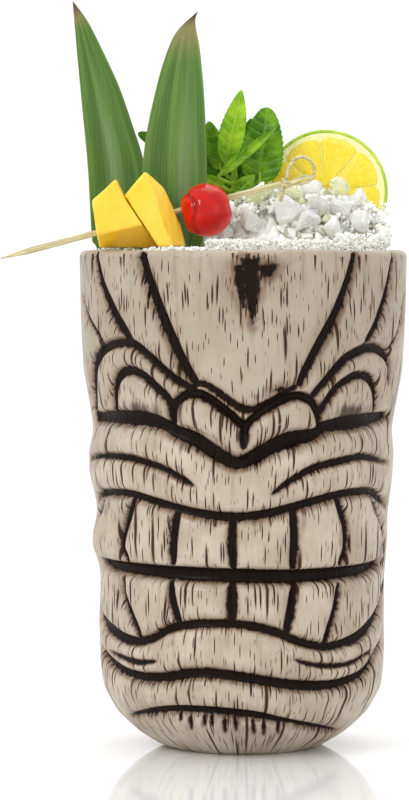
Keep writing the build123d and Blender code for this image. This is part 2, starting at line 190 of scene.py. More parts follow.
wall_r, wall_z, wall_t = smooth_profile(front_profile, front_pitch)
back_r, back_z, _ = smooth_profile(back_profile, front_pitch)
back_r = np.interp(wall_z, back_z, back_r)
angles = np.r_[np.arange(-front_reach, front_reach, front_pitch / middle_radius),
               np.arange(front_reach, 2 * math.pi - front_reach, back_pitch / middle_radius)]

cuts = []
# how far the front swells sideways past the plain face that the cuts are drawn on
middle_shift, left_spread, right_spread = 0.3, 0.028, 0.035
brow_height, brow_spread, widest_cut = 105.0, 0.9, 43.2


def widened(across, up):
    """A place drawn on the plain face, moved out to where the swelling front carries it."""
    if across < 0:
        out = -across
        across = across - middle_shift * min(1, out / 3) - left_spread * max(0, out - 3)
    else:
        out = max(0, across - 10)
        across += right_spread * out
        if up > brow_height:
            across += brow_spread * min(1, (up - brow_height) / 15) * min(1, out / 12)
    return round(max(-widest_cut, min(widest_cut, across)), 1), up


def cut(points, width, depth, left, right, taper=0.3):
    """A carved line: soft shoulders of these widths to the left and right of its travel."""
    cuts.append(([widened(*point) for point in points], width, depth, left, right, taper))


def through(points, count):
    """Evenly spaced points on a smooth line through the given ones."""
    p = np.array(points, float)
    p = np.vstack([2 * p[0] - p[1], p, 2 * p[-1] - p[-2]])
    u = np.linspace(0, 1, 24, endpoint=False)[:, None]
    line = np.vstack([0.5 * (2 * b + (c - a) * u + (2 * a - 5 * b + 4 * c - d) * u ** 2
                             + (3 * b - a - 3 * c + d) * u ** 3)
                      for a, b, c, d in zip(p, p[1:], p[2:], p[3:])] + [p[-2:-1]])
    gone = np.r_[0, np.cumsum(np.linalg.norm(np.diff(line, axis=0), axis=1))]
    even = np.linspace(0, gone[-1], count)
    return np.stack([np.interp(even, gone, line[:, k]) for k in range(line.shape[1])], -1)


def run_of(points, spacing=0.45):
    """A line on the mug, as angle round it, distance up its wall and share of its length."""
    length = np.hypot(*np.diff(np.array(points), axis=0).T).sum()
    line = through(points, int(length / spacing) + 3)
    radius = np.interp(line[:, 1], wall_z, wall_r)
    angle = np.arcsin(np.clip(line[:, 0] / radius, -0.995, 0.995))
    return angle, np.interp(line[:, 1], wall_z, wall_t), np.linspace(0, 1, len(line))


# forehead: two long cuts and a short one on each side, falling to the brow
cut([(-26.3, 133.2), (-24.8, 127.0), (-22.0, 119.0), (-18.5, 110.5), (-15.5, 104.5),
     (-12.5, 99.5)], 3.2, 1.9, 2.6, 4.2, 0.75)
cut([(-38.4, 132.6), (-36.8, 124.5), (-33.5, 117.0), (-30.5, 112.0), (-28.8, 109.0)],
    3.6, 1.6, 2.0, 2.6, 0.6)
cut([(-42.3, 122.0), (-40.0, 115.5), (-36.5, 110.0)], 1.8, 0.9, 1.6, 2.0)
cut([(14.5, 99.5), (17.0, 104.5), (19.7, 110.0), (23.3, 117.5), (26.4, 126.0), (28.2, 132.8)],
    2.9, 1.8, 2.6, 4.2, 0.7)
cut([(31.5, 109.5), (34.3, 114.5), (36.8, 123.0), (38.2, 132.4)], 3.2, 1.4, 2.0, 2.6, 0.4)
cut([(37.5, 107.5), (40.0, 112.0), (42.8, 122.5)], 1.6, 0.8, 1.6, 2.0)
# eyes: outer arch, inner arch and the closed slit below
cut([(-38.2, 88.5), (-38.6, 96.5), (-38.5, 103.0), (-36.8, 107.5), (-33.5, 109.4),
     (-29.0, 109.3), (-24.5, 106.0), (-20.0, 102.0), (-16.5, 99.5), (-12.8, 97.6)],
    2.6, 1.7, 3.0, 2.6, 0.8)
cut([(-38.6, 89.0), (-39.0, 96.0), (-38.7, 103.5), (-37.0, 107.5)], 4.6, 1.5, 2.0, 2.0, 0.6)
cut([(17.6, 95.8), (21.5, 100.0), (26.0, 105.0), (30.0, 107.3), (33.7, 108.3), (36.7, 107.0),
     (38.4, 104.0), (38.4, 99.0)], 2.8, 1.6, 3.0, 2.6, 0.6)
cut([(-33.2, 89.0), (-33.6, 96.0), (-32.8, 100.5), (-30.0, 102.3), (-26.5, 101.0),
     (-23.0, 98.0), (-19.5, 94.5), (-18.3, 90.0)], 2.9, 1.6, 2.4, 2.4, 0.85)
cut([(19.6, 91.5), (23.5, 97.0), (27.0, 99.7), (30.0, 101.0), (33.0, 100.3), (34.6, 96.5),
     (34.5, 90.0)], 2.6, 1.5, 2.4, 2.4, 0.8)
cut([(-38.5, 89.2), (-32.0, 89.6), (-24.5, 89.2), (-18.8, 88.0)], 4.0, 2.2, 2.0, 3.6, 0.5)
cut([(19.5, 87.8), (27.5, 88.4), (34.0, 89.0), (38.0, 89.6)], 3.8, 2.2, 2.0, 3.6, 0.5)
cut([(-41.3, 93.0), (-38.6, 91.0)], 1.4, 1.2, 2.0, 2.5)
# bridge of the nose, the tops of the nostril wings and the wedge between them
cut([(-14.0, 97.5), (-11.0, 99.3), (-7.0, 97.3), (-2.5, 93.9), (0.8, 92.5), (4.5, 93.3),
     (10.5, 96.8), (13.5, 98.6)], 2.2, 1.4, 3.0, 1.6, 0.6)
cut([(-18.2, 89.0), (-17.8, 93.5), (-15.0, 96.2), (-11.0, 96.4), (-6.0, 93.3), (-2.0, 89.9),
     (0.1, 87.6)], 2.6, 1.7, 1.6, 2.8, 0.85)
cut([(0.1, 87.6), (3.0, 90.9), (8.0, 94.0), (13.0, 96.0), (17.0, 95.0), (19.0, 91.5),
     (19.2, 87.0)], 2.5, 1.7, 1.6, 2.8, 0.85)
cut([(0.0, 90.0), (0.0, 86.5), (-0.3, 82.3)], 2.8, 1.6, 2.2, 2.2, 0.2)
# the deep shadow under the wings
cut([(-21.0, 88.0), (-16.8, 86.3), (-12.2, 84.6), (-7.5, 81.6), (-2.6, 78.9), (1.6, 79.9),
     (6.8, 82.8), (12.0, 84.9), (17.0, 85.6), (21.5, 87.6)], 4.1, 2.5, 1.3, 4.0, 0.6)
# cheeks
cut([(-40.3, 77.3), (-36.5, 79.3), (-30.0, 79.4), (-24.0, 78.0), (-19.0, 76.0),
     (-13.0, 72.8)], 2.1, 1.5, 3.0, 3.0, 0.4)
cut([(7.5, 70.6), (12.0, 73.8), (18.0, 77.0), (24.0, 78.6), (31.5, 79.6), (38.5, 77.2)],
    2.3, 1.6, 3.0, 3.0, 0.35)
# upper lip over the teeth, the slit of the mouth
cut([(-38.5, 67.5), (-36.0, 69.3), (-30.0, 69.6), (-24.0, 68.2), (-18.0, 66.6), (-11.5, 65.2),
     (-5.5, 64.6), (0.0, 64.5), (6.0, 65.2), (12.0, 66.6), (18.0, 68.2), (24.0, 69.6),
     (30.0, 70.2), (34.5, 69.5), (38.0, 66.0)], 2.5, 1.9, 2.4, 4.2, 0.75)
cut([(-38.0, 50.6), (-34.0, 49.8), (-24.0, 49.4), (-11.5, 49.1), (0.5, 48.8), (12.0, 48.5),
     (24.0, 48.8), (32.5, 49.2), (36.5, 50.2)], 4.0, 3.1, 1.6, 2.2, 0.6)
# gaps between the upper and the lower teeth
for gap, width in (([(-36.3, 67.5), (-38.3, 59.0), (-38.2, 53.5)], 1.3),
                   ([(-28.8, 68.0), (-31.0, 60.0), (-31.5, 55.5), (-30.2, 52.0)], 2.7),
                   ([(-17.2, 66.0), (-18.4, 59.5), (-18.5, 52.3)], 2.8),
                   ([(-2.7, 64.5), (-3.0, 58.0), (-2.6, 51.2)], 2.7),
                   ([(13.0, 66.5), (13.6, 59.0), (13.1, 51.2)], 2.7),
                   ([(24.3, 69.0), (26.5, 62.0), (26.7, 56.0), (25.4, 51.8)], 2.5),
                   ([(33.8, 68.5), (36.5, 61.0), (37.2, 54.0)], 1.4),
                   ([(-31.4, 47.0), (-31.0, 41.5), (-27.0, 32.0)], 2.4),
                   ([(-19.0, 46.8), (-18.6, 42.0), (-16.6, 35.8)], 2.6),
                   ([(-2.9, 46.8), (-3.0, 42.0), (-3.0, 36.8)], 3.1),
                   ([(13.5, 46.0), (12.7, 40.0), (11.4, 33.6)], 2.7),
                   ([(25.0, 46.0), (24.0, 39.0), (21.3, 30.6)], 2.2)):
    cut(gap, width, 1.7, 2.4, 2.4, 0.72)
# lower edge of the lower teeth, folds in the lip, lower edge of the lip, the chin
cut([(-38.0, 42.0), (-37.3, 37.5), (-35.5, 33.8), (-32.0, 31.2), (-27.5, 30.7), (-23.5, 32.2),
     (-19.0, 35.0), (-11.5, 36.5), (-3.0, 36.6), (3.0, 35.8), (9.0, 34.2), (15.0, 31.6),
     (21.5, 30.0), (27.5, 30.7), (32.5, 33.0), (35.8, 38.0), (37.0, 43.0)],
    2.5, 1.8, 2.6, 3.0, 0.7)
cut([(-38.2, 43.0), (-37.3, 37.5), (-35.5, 33.6), (-31.5, 31.0), (-27.5, 30.7)], 3.4, 1.6, 2.0,
    2.0, 0.5)
cut([(25.5, 30.3), (30.0, 31.6), (34.2, 35.0), (36.6, 39.5), (37.4, 44.0)], 3.4, 1.6, 2.0, 2.0,
    0.5)
cut([(-34.5, 27.0), (-30.0, 25.7), (-26.0, 25.4), (-22.0, 26.2)], 1.7, 0.9, 1.6, 1.6, 0.3)
cut([(13.0, 27.3), (17.0, 25.8), (23.0, 24.9), (28.0, 25.3), (33.5, 27.6)], 1.5, 0.9, 1.6,
    1.6, 0.3)
cut([(-37.8, 30.0), (-36.2, 25.5), (-32.0, 22.3), (-27.0, 21.3), (-20.5, 21.8), (-14.5, 23.2),
     (-8.5, 23.6), (-2.5, 22.9), (3.5, 21.9), (9.5, 20.7), (15.5, 19.8), (21.5, 19.4),
     (27.0, 20.1), (32.0, 22.3), (36.6, 28.5)], 3.1, 2.1, 2.8, 3.6, 0.6)
cut([(-29.0, 9.4), (-26.0, 10.8), (-20.5, 12.4), (-14.5, 13.1), (-8.5, 13.1), (-2.5, 12.6),
     (3.5, 11.6), (9.5, 9.9), (15.5, 8.2), (19.5, 7.0), (24.0, 5.6)],
    2.7, 1.7, 3.0, 4.5, 0.4)
for across, top, length in ((-17.0, 12.4, 2.6), (-14.2, 12.6, 5.0), (-10.6, 12.6, 3.8),
                            (-8.6, 12.6, 3.4), (-5.2, 12.4, 5.4), (-2.4, 12.0, 4.2),
                            (2.4, 11.0, 4.8), (5.2, 10.4, 4.4), (9.0, 9.4, 3.0)):
    cuts.append(([(across, top), (across + 0.3, top - length)], 1.3, 0.7, 0.8, 0.8, 0.35))

# painted shade in the eyes and the hollows under the nose, lips and teeth, and brown stain in the
# notch: middle (across, up), half-lengths, strength
stain_and_shade_patches = ((-27.5, 91.6, 10.0, 3.4, 1.3), (28.6, 91.2, 9.5, 3.2, 1.3), (-36.5, 92.0, 3.5, 5.0, 0.7),
          (37.0, 93.0, 3.0, 5.0, 0.6), (-13.0, 82.6, 8.0, 2.0, 0.8), (12.0, 83.2, 7.0, 1.6, 0.7),
          (-16.5, 93.0, 2.6, 4.0, 0.7), (18.5, 93.0, 2.2, 3.6, 0.6), (-36.5, 64.0, 3.0, 5.0, 0.6),
          (35.5, 66.0, 4.0, 4.0, 0.7), (-33.0, 47.8, 5.0, 1.6, 0.6), (33.0, 47.6, 5.0, 1.6, 0.6),
          (-27.0, 19.6, 9.0, 2.2, 0.8), (4.0, 20.0, 22.0, 1.6, 0.6), (-2.0, 11.4, 17.0, 2.4, 0.7),
          (2.6, 126.0, 9.0, 6.0, 0.55), (6.8, 128.9, 4.6, 4.2, 1.3),
          (-36.0, 122.0, 3.0, 9.0, 0.4), (-26.0, 130.5, 2.6, 5.0, 0.6),
          (-12.0, 63.4, 24.0, 1.8, 0.5), (16.0, 66.0, 20.0, 1.6, 0.4), (0.0, 46.6, 30.0, 1.3, 0.5),
          (-39.0, 36.0, 3.0, 9.0, 0.5), (39.0, 36.0, 3.0, 9.0, 0.5))

radius = wall_r[:, None] + 0 * angles[None, :]
turn = np.abs((angles + math.pi) % (2 * math.pi) - math.pi)
behind = np.clip((turn - math.radians(96)) / math.radians(40), 0, 1)
behind = behind ** 2 * (3 - 2 * behind)
radius += (back_r - wall_r)[:, None] * behind[None, :]
hollow = np.zeros_like(radius)          # how far the surface is cut back
edge = np.full_like(radius, 9.0)        # distance to the nearest cut's edge, less than 0 inside
stain = np.zeros_like(radius)           # how much wash is left beside the cuts
fringe = np.zeros_like(radius)          # which side of a cut the wash runs out on


def near(run, reach):
    """The rows and columns of the mesh within reach of a run, and its nearest points."""
    a, t, share = run
    rows = np.flatnonzero((wall_t > t.min() - reach) & (wall_t < t.max() + reach))
    slack = reach / narrow_radius
    cols = np.flatnonzero((angles > a.min() - slack) & (angles < a.max() + slack))
    block = np.ix_(rows, cols)
    away = np.full((len(rows), len(cols)), 1e9)
    which = np.zeros(away.shape, int)
    local = wall_r[rows][:, None]
    for k in range(len(a)):
        gone = (local * (angles[cols] - a[k])[None, :]) ** 2 + (wall_t[rows] - t[k])[:, None] ** 2
        nearer = gone < away
        away[nearer] = gone[nearer]
        which[nearer] = k
    across = local * (angles[cols][None, :] - a[which])
    up = wall_t[rows][:, None] - t[which]
    step_a, step_t = np.gradient(a), np.gradient(t)
    side = local * step_a[which] * up - step_t[which] * across
    return block, np.sqrt(away), side > 0, share[which]


for points, width, depth, left, right, taper in cuts:
    block, away, on_left, share = near(run_of(points), 7.5)
    fullness = taper + (1 - taper) * np.sin(np.pi * np.clip(share, 0.0, 1)) ** 0.5
    half = width / 2 * fullness
    shoulder = np.where(on_left, left, right)
    out = np.clip((away - half) / shoulder, 0, 1)
    slope = 1 - np.sqrt(1 - (1 - out) ** 2)
    bed = 1 + 0.3 * (1 - np.clip(away / half, 0, 1) ** 2)
    carved = depth * (0.4 + 0.6 * fullness) * np.where(away < half, bed, slope)
    hollow[block] = np.maximum(hollow[block], carved)
    closer = away - half < edge[block]
    left_over = np.clip(1 - (away - half) / 6.5, 0, 1)
    fringe[block] = np.where(closer, np.clip((shoulder - 2.6) / 1.5, 0, 1), fringe[block])
    edge[block] = np.minimum(edge[block], away - half)
    stain[block] = np.maximum(stain[block], left_over)


def inside_distance(outline, reach):
    """The mesh near a closed outline, how far inside it that lies, and how far from its edge."""
    a, t, share = run_of(outline + outline[:1])
    block, away, _, _ = near((a, t, share), reach)
    rows, cols = block[0][:, 0], block[1][0]
    here_a, here_t = np.meshgrid(angles[cols], wall_t[rows])
    crossings = np.zeros(away.shape, int)
    for k in range(len(a) - 1):
        spans = (t[k] > here_t) != (t[k + 1] > here_t)
        if spans.any():
            at = a[k] + (here_t - t[k]) * (a[k + 1] - a[k]) / (t[k + 1] - t[k] + 1e-12)
            crossings += spans & (here_a < at)
    return block, np.where(crossings % 2 == 1, away, 0.0), away


# pools of wash: three in the notch of the forehead, one on the brow, two under the nose
for outline in ([(-1.2, 132.6), (-0.8, 127.0), (0.4, 120.0), (2.2, 114.2), (3.4, 119.5),
                 (3.8, 126.0), (3.6, 132.6)],
                [(-3.0, 130.0), (-2.4, 124.0), (-0.6, 119.0), (0.6, 121.0), (0.0, 130.6)],
                [(3.8, 130.4), (4.4, 126.8), (6.8, 127.2), (8.8, 129.2), (8.6, 130.6)],
                [(6.6, 97.4), (8.8, 98.8), (11.4, 98.6), (9.6, 97.2)],
                [(-14.2, 86.6), (-8.0, 82.8), (-6.5, 81.0), (-13.0, 83.4)],
                [(13.2, 86.2), (7.0, 82.8), (8.5, 81.4), (16.0, 83.8)]):
    block, inward, away = inside_distance(outline, 4.0)
    # a shallow edge, so that the grain frays it
    signed = np.where(inward > 0, -0.45 * inward, 0.55 * away)
    fringe[block] = np.where(signed < edge[block], 1.0, fringe[block])
    edge[block] = np.minimum(edge[block], signed)
for across, up, half_wide, half_tall, amount in (
        (2.5, 125.0, 15.0, 11.0, 1.0), (-22.0, 83.5, 12.0, 3.5, 0.8), (9.5, 98.0, 5.0, 2.2, 0.9),
        (-3.0, 9.0, 22.0, 4.5, 0.8), (-29.0, 66.0, 8.0, 4.0, 0.6), (31.0, 70.0, 8.0, 3.0, 0.6)):
    turned = math.asin(across / np.interp(up, wall_z, wall_r))
    off = np.hypot(middle_radius * (angles - turned)[None, :] / half_wide,
                   (wall_z[:, None] - up) / half_tall)
    stain = np.maximum(stain, amount * np.clip(1.4 - off, 0, 1) * (np.abs(angles - turned) < 1.5))

# painted shade and brown stain: how much each point of the wall is darkened by the patches above
stain_and_painted_shade = np.zeros_like(radius)
for across, up, half_wide, half_tall, amount in stain_and_shade_patches:
    girth = np.interp(up, wall_z, wall_r)
    turned = math.asin(max(-1.0, min(1.0, across / girth)))
    off = np.hypot(girth * (angles - turned)[None, :] / half_wide,
                   (wall_z[:, None] - up) / half_tall)
    stain_and_painted_shade = np.maximum(stain_and_painted_shade, amount * np.exp(-1.2 * off ** 2) * (np.abs(angles - turned) < 1.5))

raised = np.zeros_like(radius)
nose_outline = [(-17.6, 88.5), (-17.4, 93.0), (-14.8, 95.6), (-11.0, 95.8), (-6.0, 92.8),
                (-1.5, 88.8), (0.1, 86.8), (2.2, 89.6), (8.0, 93.4), (13.0, 95.3),
                (16.6, 94.4), (18.6, 91.0), (18.8, 87.8), (12.5, 87.8), (7.0, 86.0),
                (2.6, 82.9), (-0.4, 80.0), (-6.0, 84.2), (-11.0, 87.0), (-14.5, 88.4)]
block, inward, _ = inside_distance(nose_outline, 1.0)
raised[block] += 2.0 * np.sqrt(1 - (1 - np.clip(inward / 3.6, 0, 1)) ** 2)
notch_outline = [(-12.6, 136.0), (-7.5, 123.8), (-2.5, 117.2), (2.0, 113.2), (7.5, 118.6),
                 (12.0, 126.4), (16.0, 136.0)]
block, inward, _ = inside_distance(notch_outline, 1.0)
share = np.clip(inward / 4.4, 0, 1)
raised[block] -= 1.5 * share ** 2 * (3 - 2 * share)

# broad swellings under the cuts: middle (across, up), half-lengths and height
for across, up, half_wide, half_tall, swell in (
        (0.0, 27.5, 26.0, 5.5, 0.9), (-27.0, 26.0, 12.0, 5.0, 0.5), (25.0, 24.0, 14.0, 5.0, 0.7),
        (0.0, 105.0, 12.0, 12.0, 0.5), (-27.5, 96.0, 8.0, 7.0, -0.7), (28.5, 95.5, 8.0, 7.0, -0.7),
        (-28.0, 84.0, 15.0, 5.0, 0.8), (28.0, 84.0, 15.0, 5.0, 0.8),
        (0.0, 72.0, 10.0, 5.0, 0.4), (0.0, 4.0, 24.0, 7.0, -0.5), (-38.6, 56.0, 15.0, 7.0, 1.9),
        (-39.6, 77.0, 15.0, 9.0, 1.3), (-37.8, 34.0, 15.0, 13.0, 0.7)):
    level = np.interp(up, wall_z, wall_t)
    girth = np.interp(up, wall_z, wall_r)
    turned = math.asin(across / girth)
    off = np.hypot(girth * (angles - turned)[None, :] / half_wide,
                   (wall_t[:, None] - level) / half_tall)
    raised += swell * np.exp(-1.6 * off ** 2) * (np.abs(angles - turned) < 1.5)[None, :]

dice = np.random.default_rng(11)
waves = sum(dice.uniform(0.05, 0.12) * np.sin(k * angles[None, :] + dice.uniform(0, 6)
            + 0.03 * dice.uniform(0.5, 2.0) * wall_t[:, None]) for k in range(2, 7))
height = raised - hollow + waves
height *= np.clip(wall_t / 3.0, 0, 1)[:, None]
step_r, step_z = np.gradient(wall_r), np.gradient(wall_z)
long = np.hypot(step_r, step_z)
out_r, out_z = (step_z / long)[:, None], (-step_r / long)[:, None]
outer_r = radius + out_r * height
outer_z = wall_z[:, None] + out_z * height

rings = []                              # radius and height of every ring, then its masks
ring_foot = foot_radius - foot_ring_width
for r, z in ((6.0, foot_recess), (ring_foot - 1.6, foot_recess), (ring_foot - 0.5, 1.1),
             (ring_foot + 0.3, 0.25), (ring_foot + 1.2, 0.0), (foot_radius - 1.2, 0.0)):
    rings.append((r, z, 9.0, -4.0, 0.0, 0.0))
for row in range(len(wall_t)):
    rings.append((outer_r[row], outer_z[row], edge[row], stain[row], fringe[row], stain_and_painted_shade[row]))
rim_steps = 14
rim_swing = rim_height + 0.12 * np.sin(3 * angles + 1.0) + 0.1 * np.sin(5 * angles)
for step in range(1, rim_steps + 1):
    angle = math.pi * step / rim_steps
    fade = max(0.0, math.cos(angle))
    r = (rim_radius - rim_wall / 2) + rim_wall / 2 * math.cos(angle) + height[-1] * fade ** 2
    z = lip_height + (rim_swing - lip_height) * math.sin(angle)
    bare = -4.0 * min(1.0, 3 * step / rim_steps)
    rings.append((r, z, edge[-1] + 2.5 * (1 - fade), stain[-1] * fade + bare, fringe[-1], 0.0))
cavity = [(rim_radius - rim_wall, lip_height), (39.7, 116.0), (38.3, 100.0), (36.4, 82.0),
          (34.8, 64.0), (33.8, 46.0), (33.4, 28.0), (31.4, 16.0), (25.5, floor_height + 3.0),
          (14.0, floor_height), (4.0, floor_height)]
inner_r, inner_z, _ = smooth_profile(cavity, 3.0)
for r, z in zip(inner_r[1:], inner_z[1:]):
    rings.append((r, z, 9.0, -4.0, 0.0, 0.0))

around = len(angles)
one = np.ones(around)
ring_r = np.array([one * ring[0] for ring in rings])
ring_z = np.array([one * ring[1] for ring in rings])
masks = [np.array([one * ring[k] for ring in rings]).ravel() for k in (2, 3, 4, 5)]
points = np.stack([ring_r * np.sin(angles), -ring_r * np.cos(angles), ring_z], -1).reshape(-1, 3)
points = np.vstack([points, [(0, 0, foot_recess), (0, 0, floor_height)]]) * MM
start = np.arange(len(rings) - 1)[:, None] * around
col = np.arange(around)[None, :]
after = (col + 1) % around
faces = np.stack([start + col, start + after, start + around + after, start + around + col], -1)
faces = faces.reshape(-1, 4).tolist()
top = (len(rings) - 1) * around
below, inside = len(points) - 2, len(points) - 1
faces += [(below, (c + 1) % around, c) for c in range(around)]
faces += [(top + c, top + (c + 1) % around, inside) for c in range(around)]


def effect(name, inputs, outputs):
    """A new node group: its tree, its inputs by name and its output node."""
    group = bpy.data.node_groups.new(name, "ShaderNodeTree")
    for label, value in inputs.items():
        kind = "NodeSocketVector" if isinstance(value, tuple) else "NodeSocketFloat"
        socket = group.interface.new_socket(label, in_out="INPUT", socket_type=kind)
        socket.default_value = value
    for label, kind in outputs.items():
        group.interface.new_socket(label, in_out="OUTPUT", socket_type="NodeSocket" + kind)
    given = group.nodes.new("NodeGroupInput").outputs
    return group, given, group.nodes.new("NodeGroupOutput").inputs


def place_effect(tree, group, **values):
    """An effect placed in a material, its inputs given as values or links."""
    node = tree.nodes.new("ShaderNodeGroup")
    node.node_tree = group
    for label, value in values.items():
        socket = node.inputs[label.replace("_", " ")]
        if isinstance(value, bpy.types.NodeSocket):
            tree.links.new(value, socket)
        else:
            socket.default_value = value
    return node.outputs


def calc(tree, operation, *values):
    """The output of one Math node."""
    return add(tree, "Math", *values, operation=operation).outputs[0]


def ramp(tree, value, low, high, to_low=0.0, to_high=1.0):
    """A value eased from one range to another and held at its ends."""
    return add(tree, "MapRange", value, low, high, to_low, to_high,
               interpolation_type="SMOOTHSTEP").outputs[0]


def tinted(tree, share, first, second):
    """Two colours mixed by a share."""
    mix = tree.nodes.new("ShaderNodeMix")
    mix.data_type = "RGBA"
    for socket, value in ((0, share), (6, first), (7, second)):
        if isinstance(value, bpy.types.NodeSocket):
            tree.links.new(value, mix.inputs[socket])
        else:
            mix.inputs[socket].default_value = value
    return mix.outputs[2]


def mask(piece, label, values):
    """A number at every point of a piece, for its material to read."""
    layer = piece.data.attributes.new(label, "FLOAT", "POINT")
    layer.data.foreach_set("value", np.asarray(values, float).ravel())


def read_mask(tree, label):
    """The number that a mask holds at the point being shaded."""
    return add(tree, "Attribute", attribute_name=label).outputs["Fac"]


def stretched(tree, place, *shares):
    """A place with each of its three axes multiplied by its own share."""
    return add(tree, "VectorMath", place, shares, operation="MULTIPLY").outputs[0]


def dress(tree, shader, colour, roughness, strength, depth, relief, **settings):
    """Colour, roughness and a relief joined to a shader, and other sockets set by name."""
    bump = add(tree, "Bump", Strength=strength, Distance=depth, Height=relief)
    for label, value in (("Base Color", colour), ("Roughness", roughness),
                         ("Normal", bump.outputs[0])):
        tree.links.new(value, shader.inputs[label])
    for label, value in settings.items():
        shader.inputs[label.replace("_", " ")].default_value = value


def grain_layer(group, place, across, along, shift, widest, rarity, crowd):
    """Short upright strokes, thin at both ends: stretched cells, of which a few are kept."""
    drawn = stretched(group, place, across, along, 1.0)
    moved = add(group, "VectorMath", drawn, (shift, 0.37 * shift, 0.0), operation="ADD")
    cells = add(group, "TexVoronoi", moved.outputs[0], voronoi_dimensions="2D", Scale=1.0)
    luck = add(group, "SeparateColor", cells.outputs["Color"])
    limit = calc(group, "SUBTRACT", rarity, crowd)
    kept = ramp(group, luck.outputs[0], limit, calc(group, "ADD", limit, 0.06))
    size = calc(group, "MULTIPLY", calc(group, "MULTIPLY_ADD", luck.outputs[1], 0.7, 0.3), widest)
    inside = ramp(group, calc(group, "DIVIDE", cells.outputs["Distance"], size), 0.25, 1.0, 1.0, 0.0)
    return calc(group, "MULTIPLY", inside, kept)


# carved wood grain: four sizes of upright strokes over a surface measured in millimetres
grain, given, result = effect("carved_grain", {"Place": (0.0, 0.0, 0.0), "Crowding": 0.0},
                              {"Strokes": "Float"})
wander = add(grain, "TexNoise", stretched(grain, given["Place"], 0.12, 0.06, 1.0),
             Scale=1.0, Detail=2.0)
bend = add(grain, "VectorMath", wander.outputs["Color"], (0.5, 0.5, 0.5), operation="SUBTRACT")
bend = stretched(grain, bend.outputs[0], 1.3, 2.0, 0.0)
spot = add(grain, "VectorMath", given["Place"], bend, operation="ADD").outputs[0]
strokes = None
for across, along, shift, widest, rarity in ((0.30, 0.021, 1.7, 0.25, 0.50),
                                             (0.47, 0.036, 5.3, 0.26, 0.36),
                                             (0.80, 0.062, 9.1, 0.25, 0.42),
                                             (1.30, 0.130, 3.3, 0.22, 0.66)):
    layer = grain_layer(grain, spot, across, along, shift, widest, rarity, given["Crowding"])
    strokes = layer if strokes is None else calc(grain, "MAXIMUM", strokes, layer)
grain.links.new(strokes, result["Strokes"])

# rubbed wash: black in the bottom of a cut, then a brown stain, softer on one side
wash, given, result = effect("rubbed_wash", {"Place": (0.0, 0.0, 0.0), "Edge": 9.0, "Fringe": 0.0,
                                             "Run": 3.0}, {"Black": "Float", "Brown": "Float"})
comb = stretched(wash, given["Place"], 1.0, 0.06, 1.0)
teeth = add(wash, "TexNoise", comb, Scale=1.0, Detail=2.5, Roughness=0.6)
runs = calc(wash, "MULTIPLY", ramp(wash, teeth.outputs[0], 0.56, 0.80), given["Run"])
runs = calc(wash, "MULTIPLY", runs, given["Fringe"])
rough_edge = add(wash, "TexNoise", given["Place"], Scale=0.7, Detail=3.0)
ragged = calc(wash, "MULTIPLY_ADD", rough_edge.outputs[0], 0.9, -0.45)
reach = calc(wash, "SUBTRACT", calc(wash, "ADD", given["Edge"], ragged), runs)
wash.links.new(ramp(wash, reach, -0.32, 0.12, 1.0, 0.0), result["Black"])
cloudy = add(wash, "TexNoise", stretched(wash, given["Place"], 0.45, 0.14, 1.0),
             Scale=1.0, Detail=4.0)
soft_width = calc(wash, "MULTIPLY_ADD", given["Fringe"], 1.1, 0.35)
soft = ramp(wash, calc(wash, "DIVIDE", reach, soft_width), 0.0, 1.0, 1.0, 0.0)
soft = calc(wash, "MULTIPLY", soft, ramp(wash, cloudy.outputs[0], 0.32, 0.62, 0.35, 1.0))
wash.links.new(soft, result["Brown"])

cream, pale_cream = (0.42, 0.352, 0.262, 1.0), (0.54, 0.474, 0.372, 1.0)
wash_black, wash_brown = (0.011, 0.0065, 0.0045, 1.0), (0.135, 0.054, 0.021, 1.0)
clay, tree, shader = finish_material("glazed_clay")
seat = add(tree, "SeparateXYZ", add(tree, "TexCoord").outputs["Object"])
up_mm = calc(tree, "MULTIPLY", seat.outputs[2], 1000.0)
round_mm = calc(tree, "MULTIPLY", calc(tree, "ARCTAN2", seat.outputs[0],
                                       calc(tree, "MULTIPLY", seat.outputs[1], -1.0)), middle_radius)
spread = add(tree, "CombineXYZ", round_mm, up_mm, 0.0).outputs[0]
edge_mask, stain_mask, fringe_mask, stain_and_shade_mask = (
    read_mask(tree, label)
    for label in ("wash_edge", "wash_stain", "wash_fringe", "painted_shade_and_stain"))
strokes = place_effect(tree, grain, Place=spread,
                       Crowding=calc(tree, "MULTIPLY", stain_mask, 0.30))["Strokes"]
washed = place_effect(tree, wash, Place=spread, Edge=edge_mask, Fringe=fringe_mask, Run=2.6)
mottle = add(tree, "TexNoise", spread, Scale=0.07, Detail=5.0, Roughness=0.6)
colour = tinted(tree, ramp(tree, mottle.outputs[0], 0.35, 0.65), cream, pale_cream)
# darker and greyer towards the top, over the forehead
colour = tinted(tree, ramp(tree, up_mm, 72.0, 118.0, 0.0, 0.62), colour, (0.335, 0.28, 0.21, 1.0))
smear = add(tree, "TexNoise", stretched(tree, spread, 0.5, 0.05, 1.0), Scale=1.0, Detail=4.0)
hair = add(tree, "TexNoise", stretched(tree, spread, 2.4, 0.10, 1.0), Scale=1.0, Detail=2.0)
streak = calc(tree, "MULTIPLY", ramp(tree, smear.outputs[0], 0.54, 0.76), 0.30)
colour = tinted(tree, streak, colour, wash_brown)
worn = calc(tree, "MAXIMUM", stain_mask, 0.0)
thin = calc(tree, "MULTIPLY", ramp(tree, hair.outputs[0], 0.58, 0.74),
            calc(tree, "MULTIPLY_ADD", worn, 0.30, 0.16))
colour = tinted(tree, thin, colour, wash_brown)
colour = tinted(tree, calc(tree, "MULTIPLY", calc(tree, "POWER", worn, 2.0), 0.16), colour,
                wash_brown)
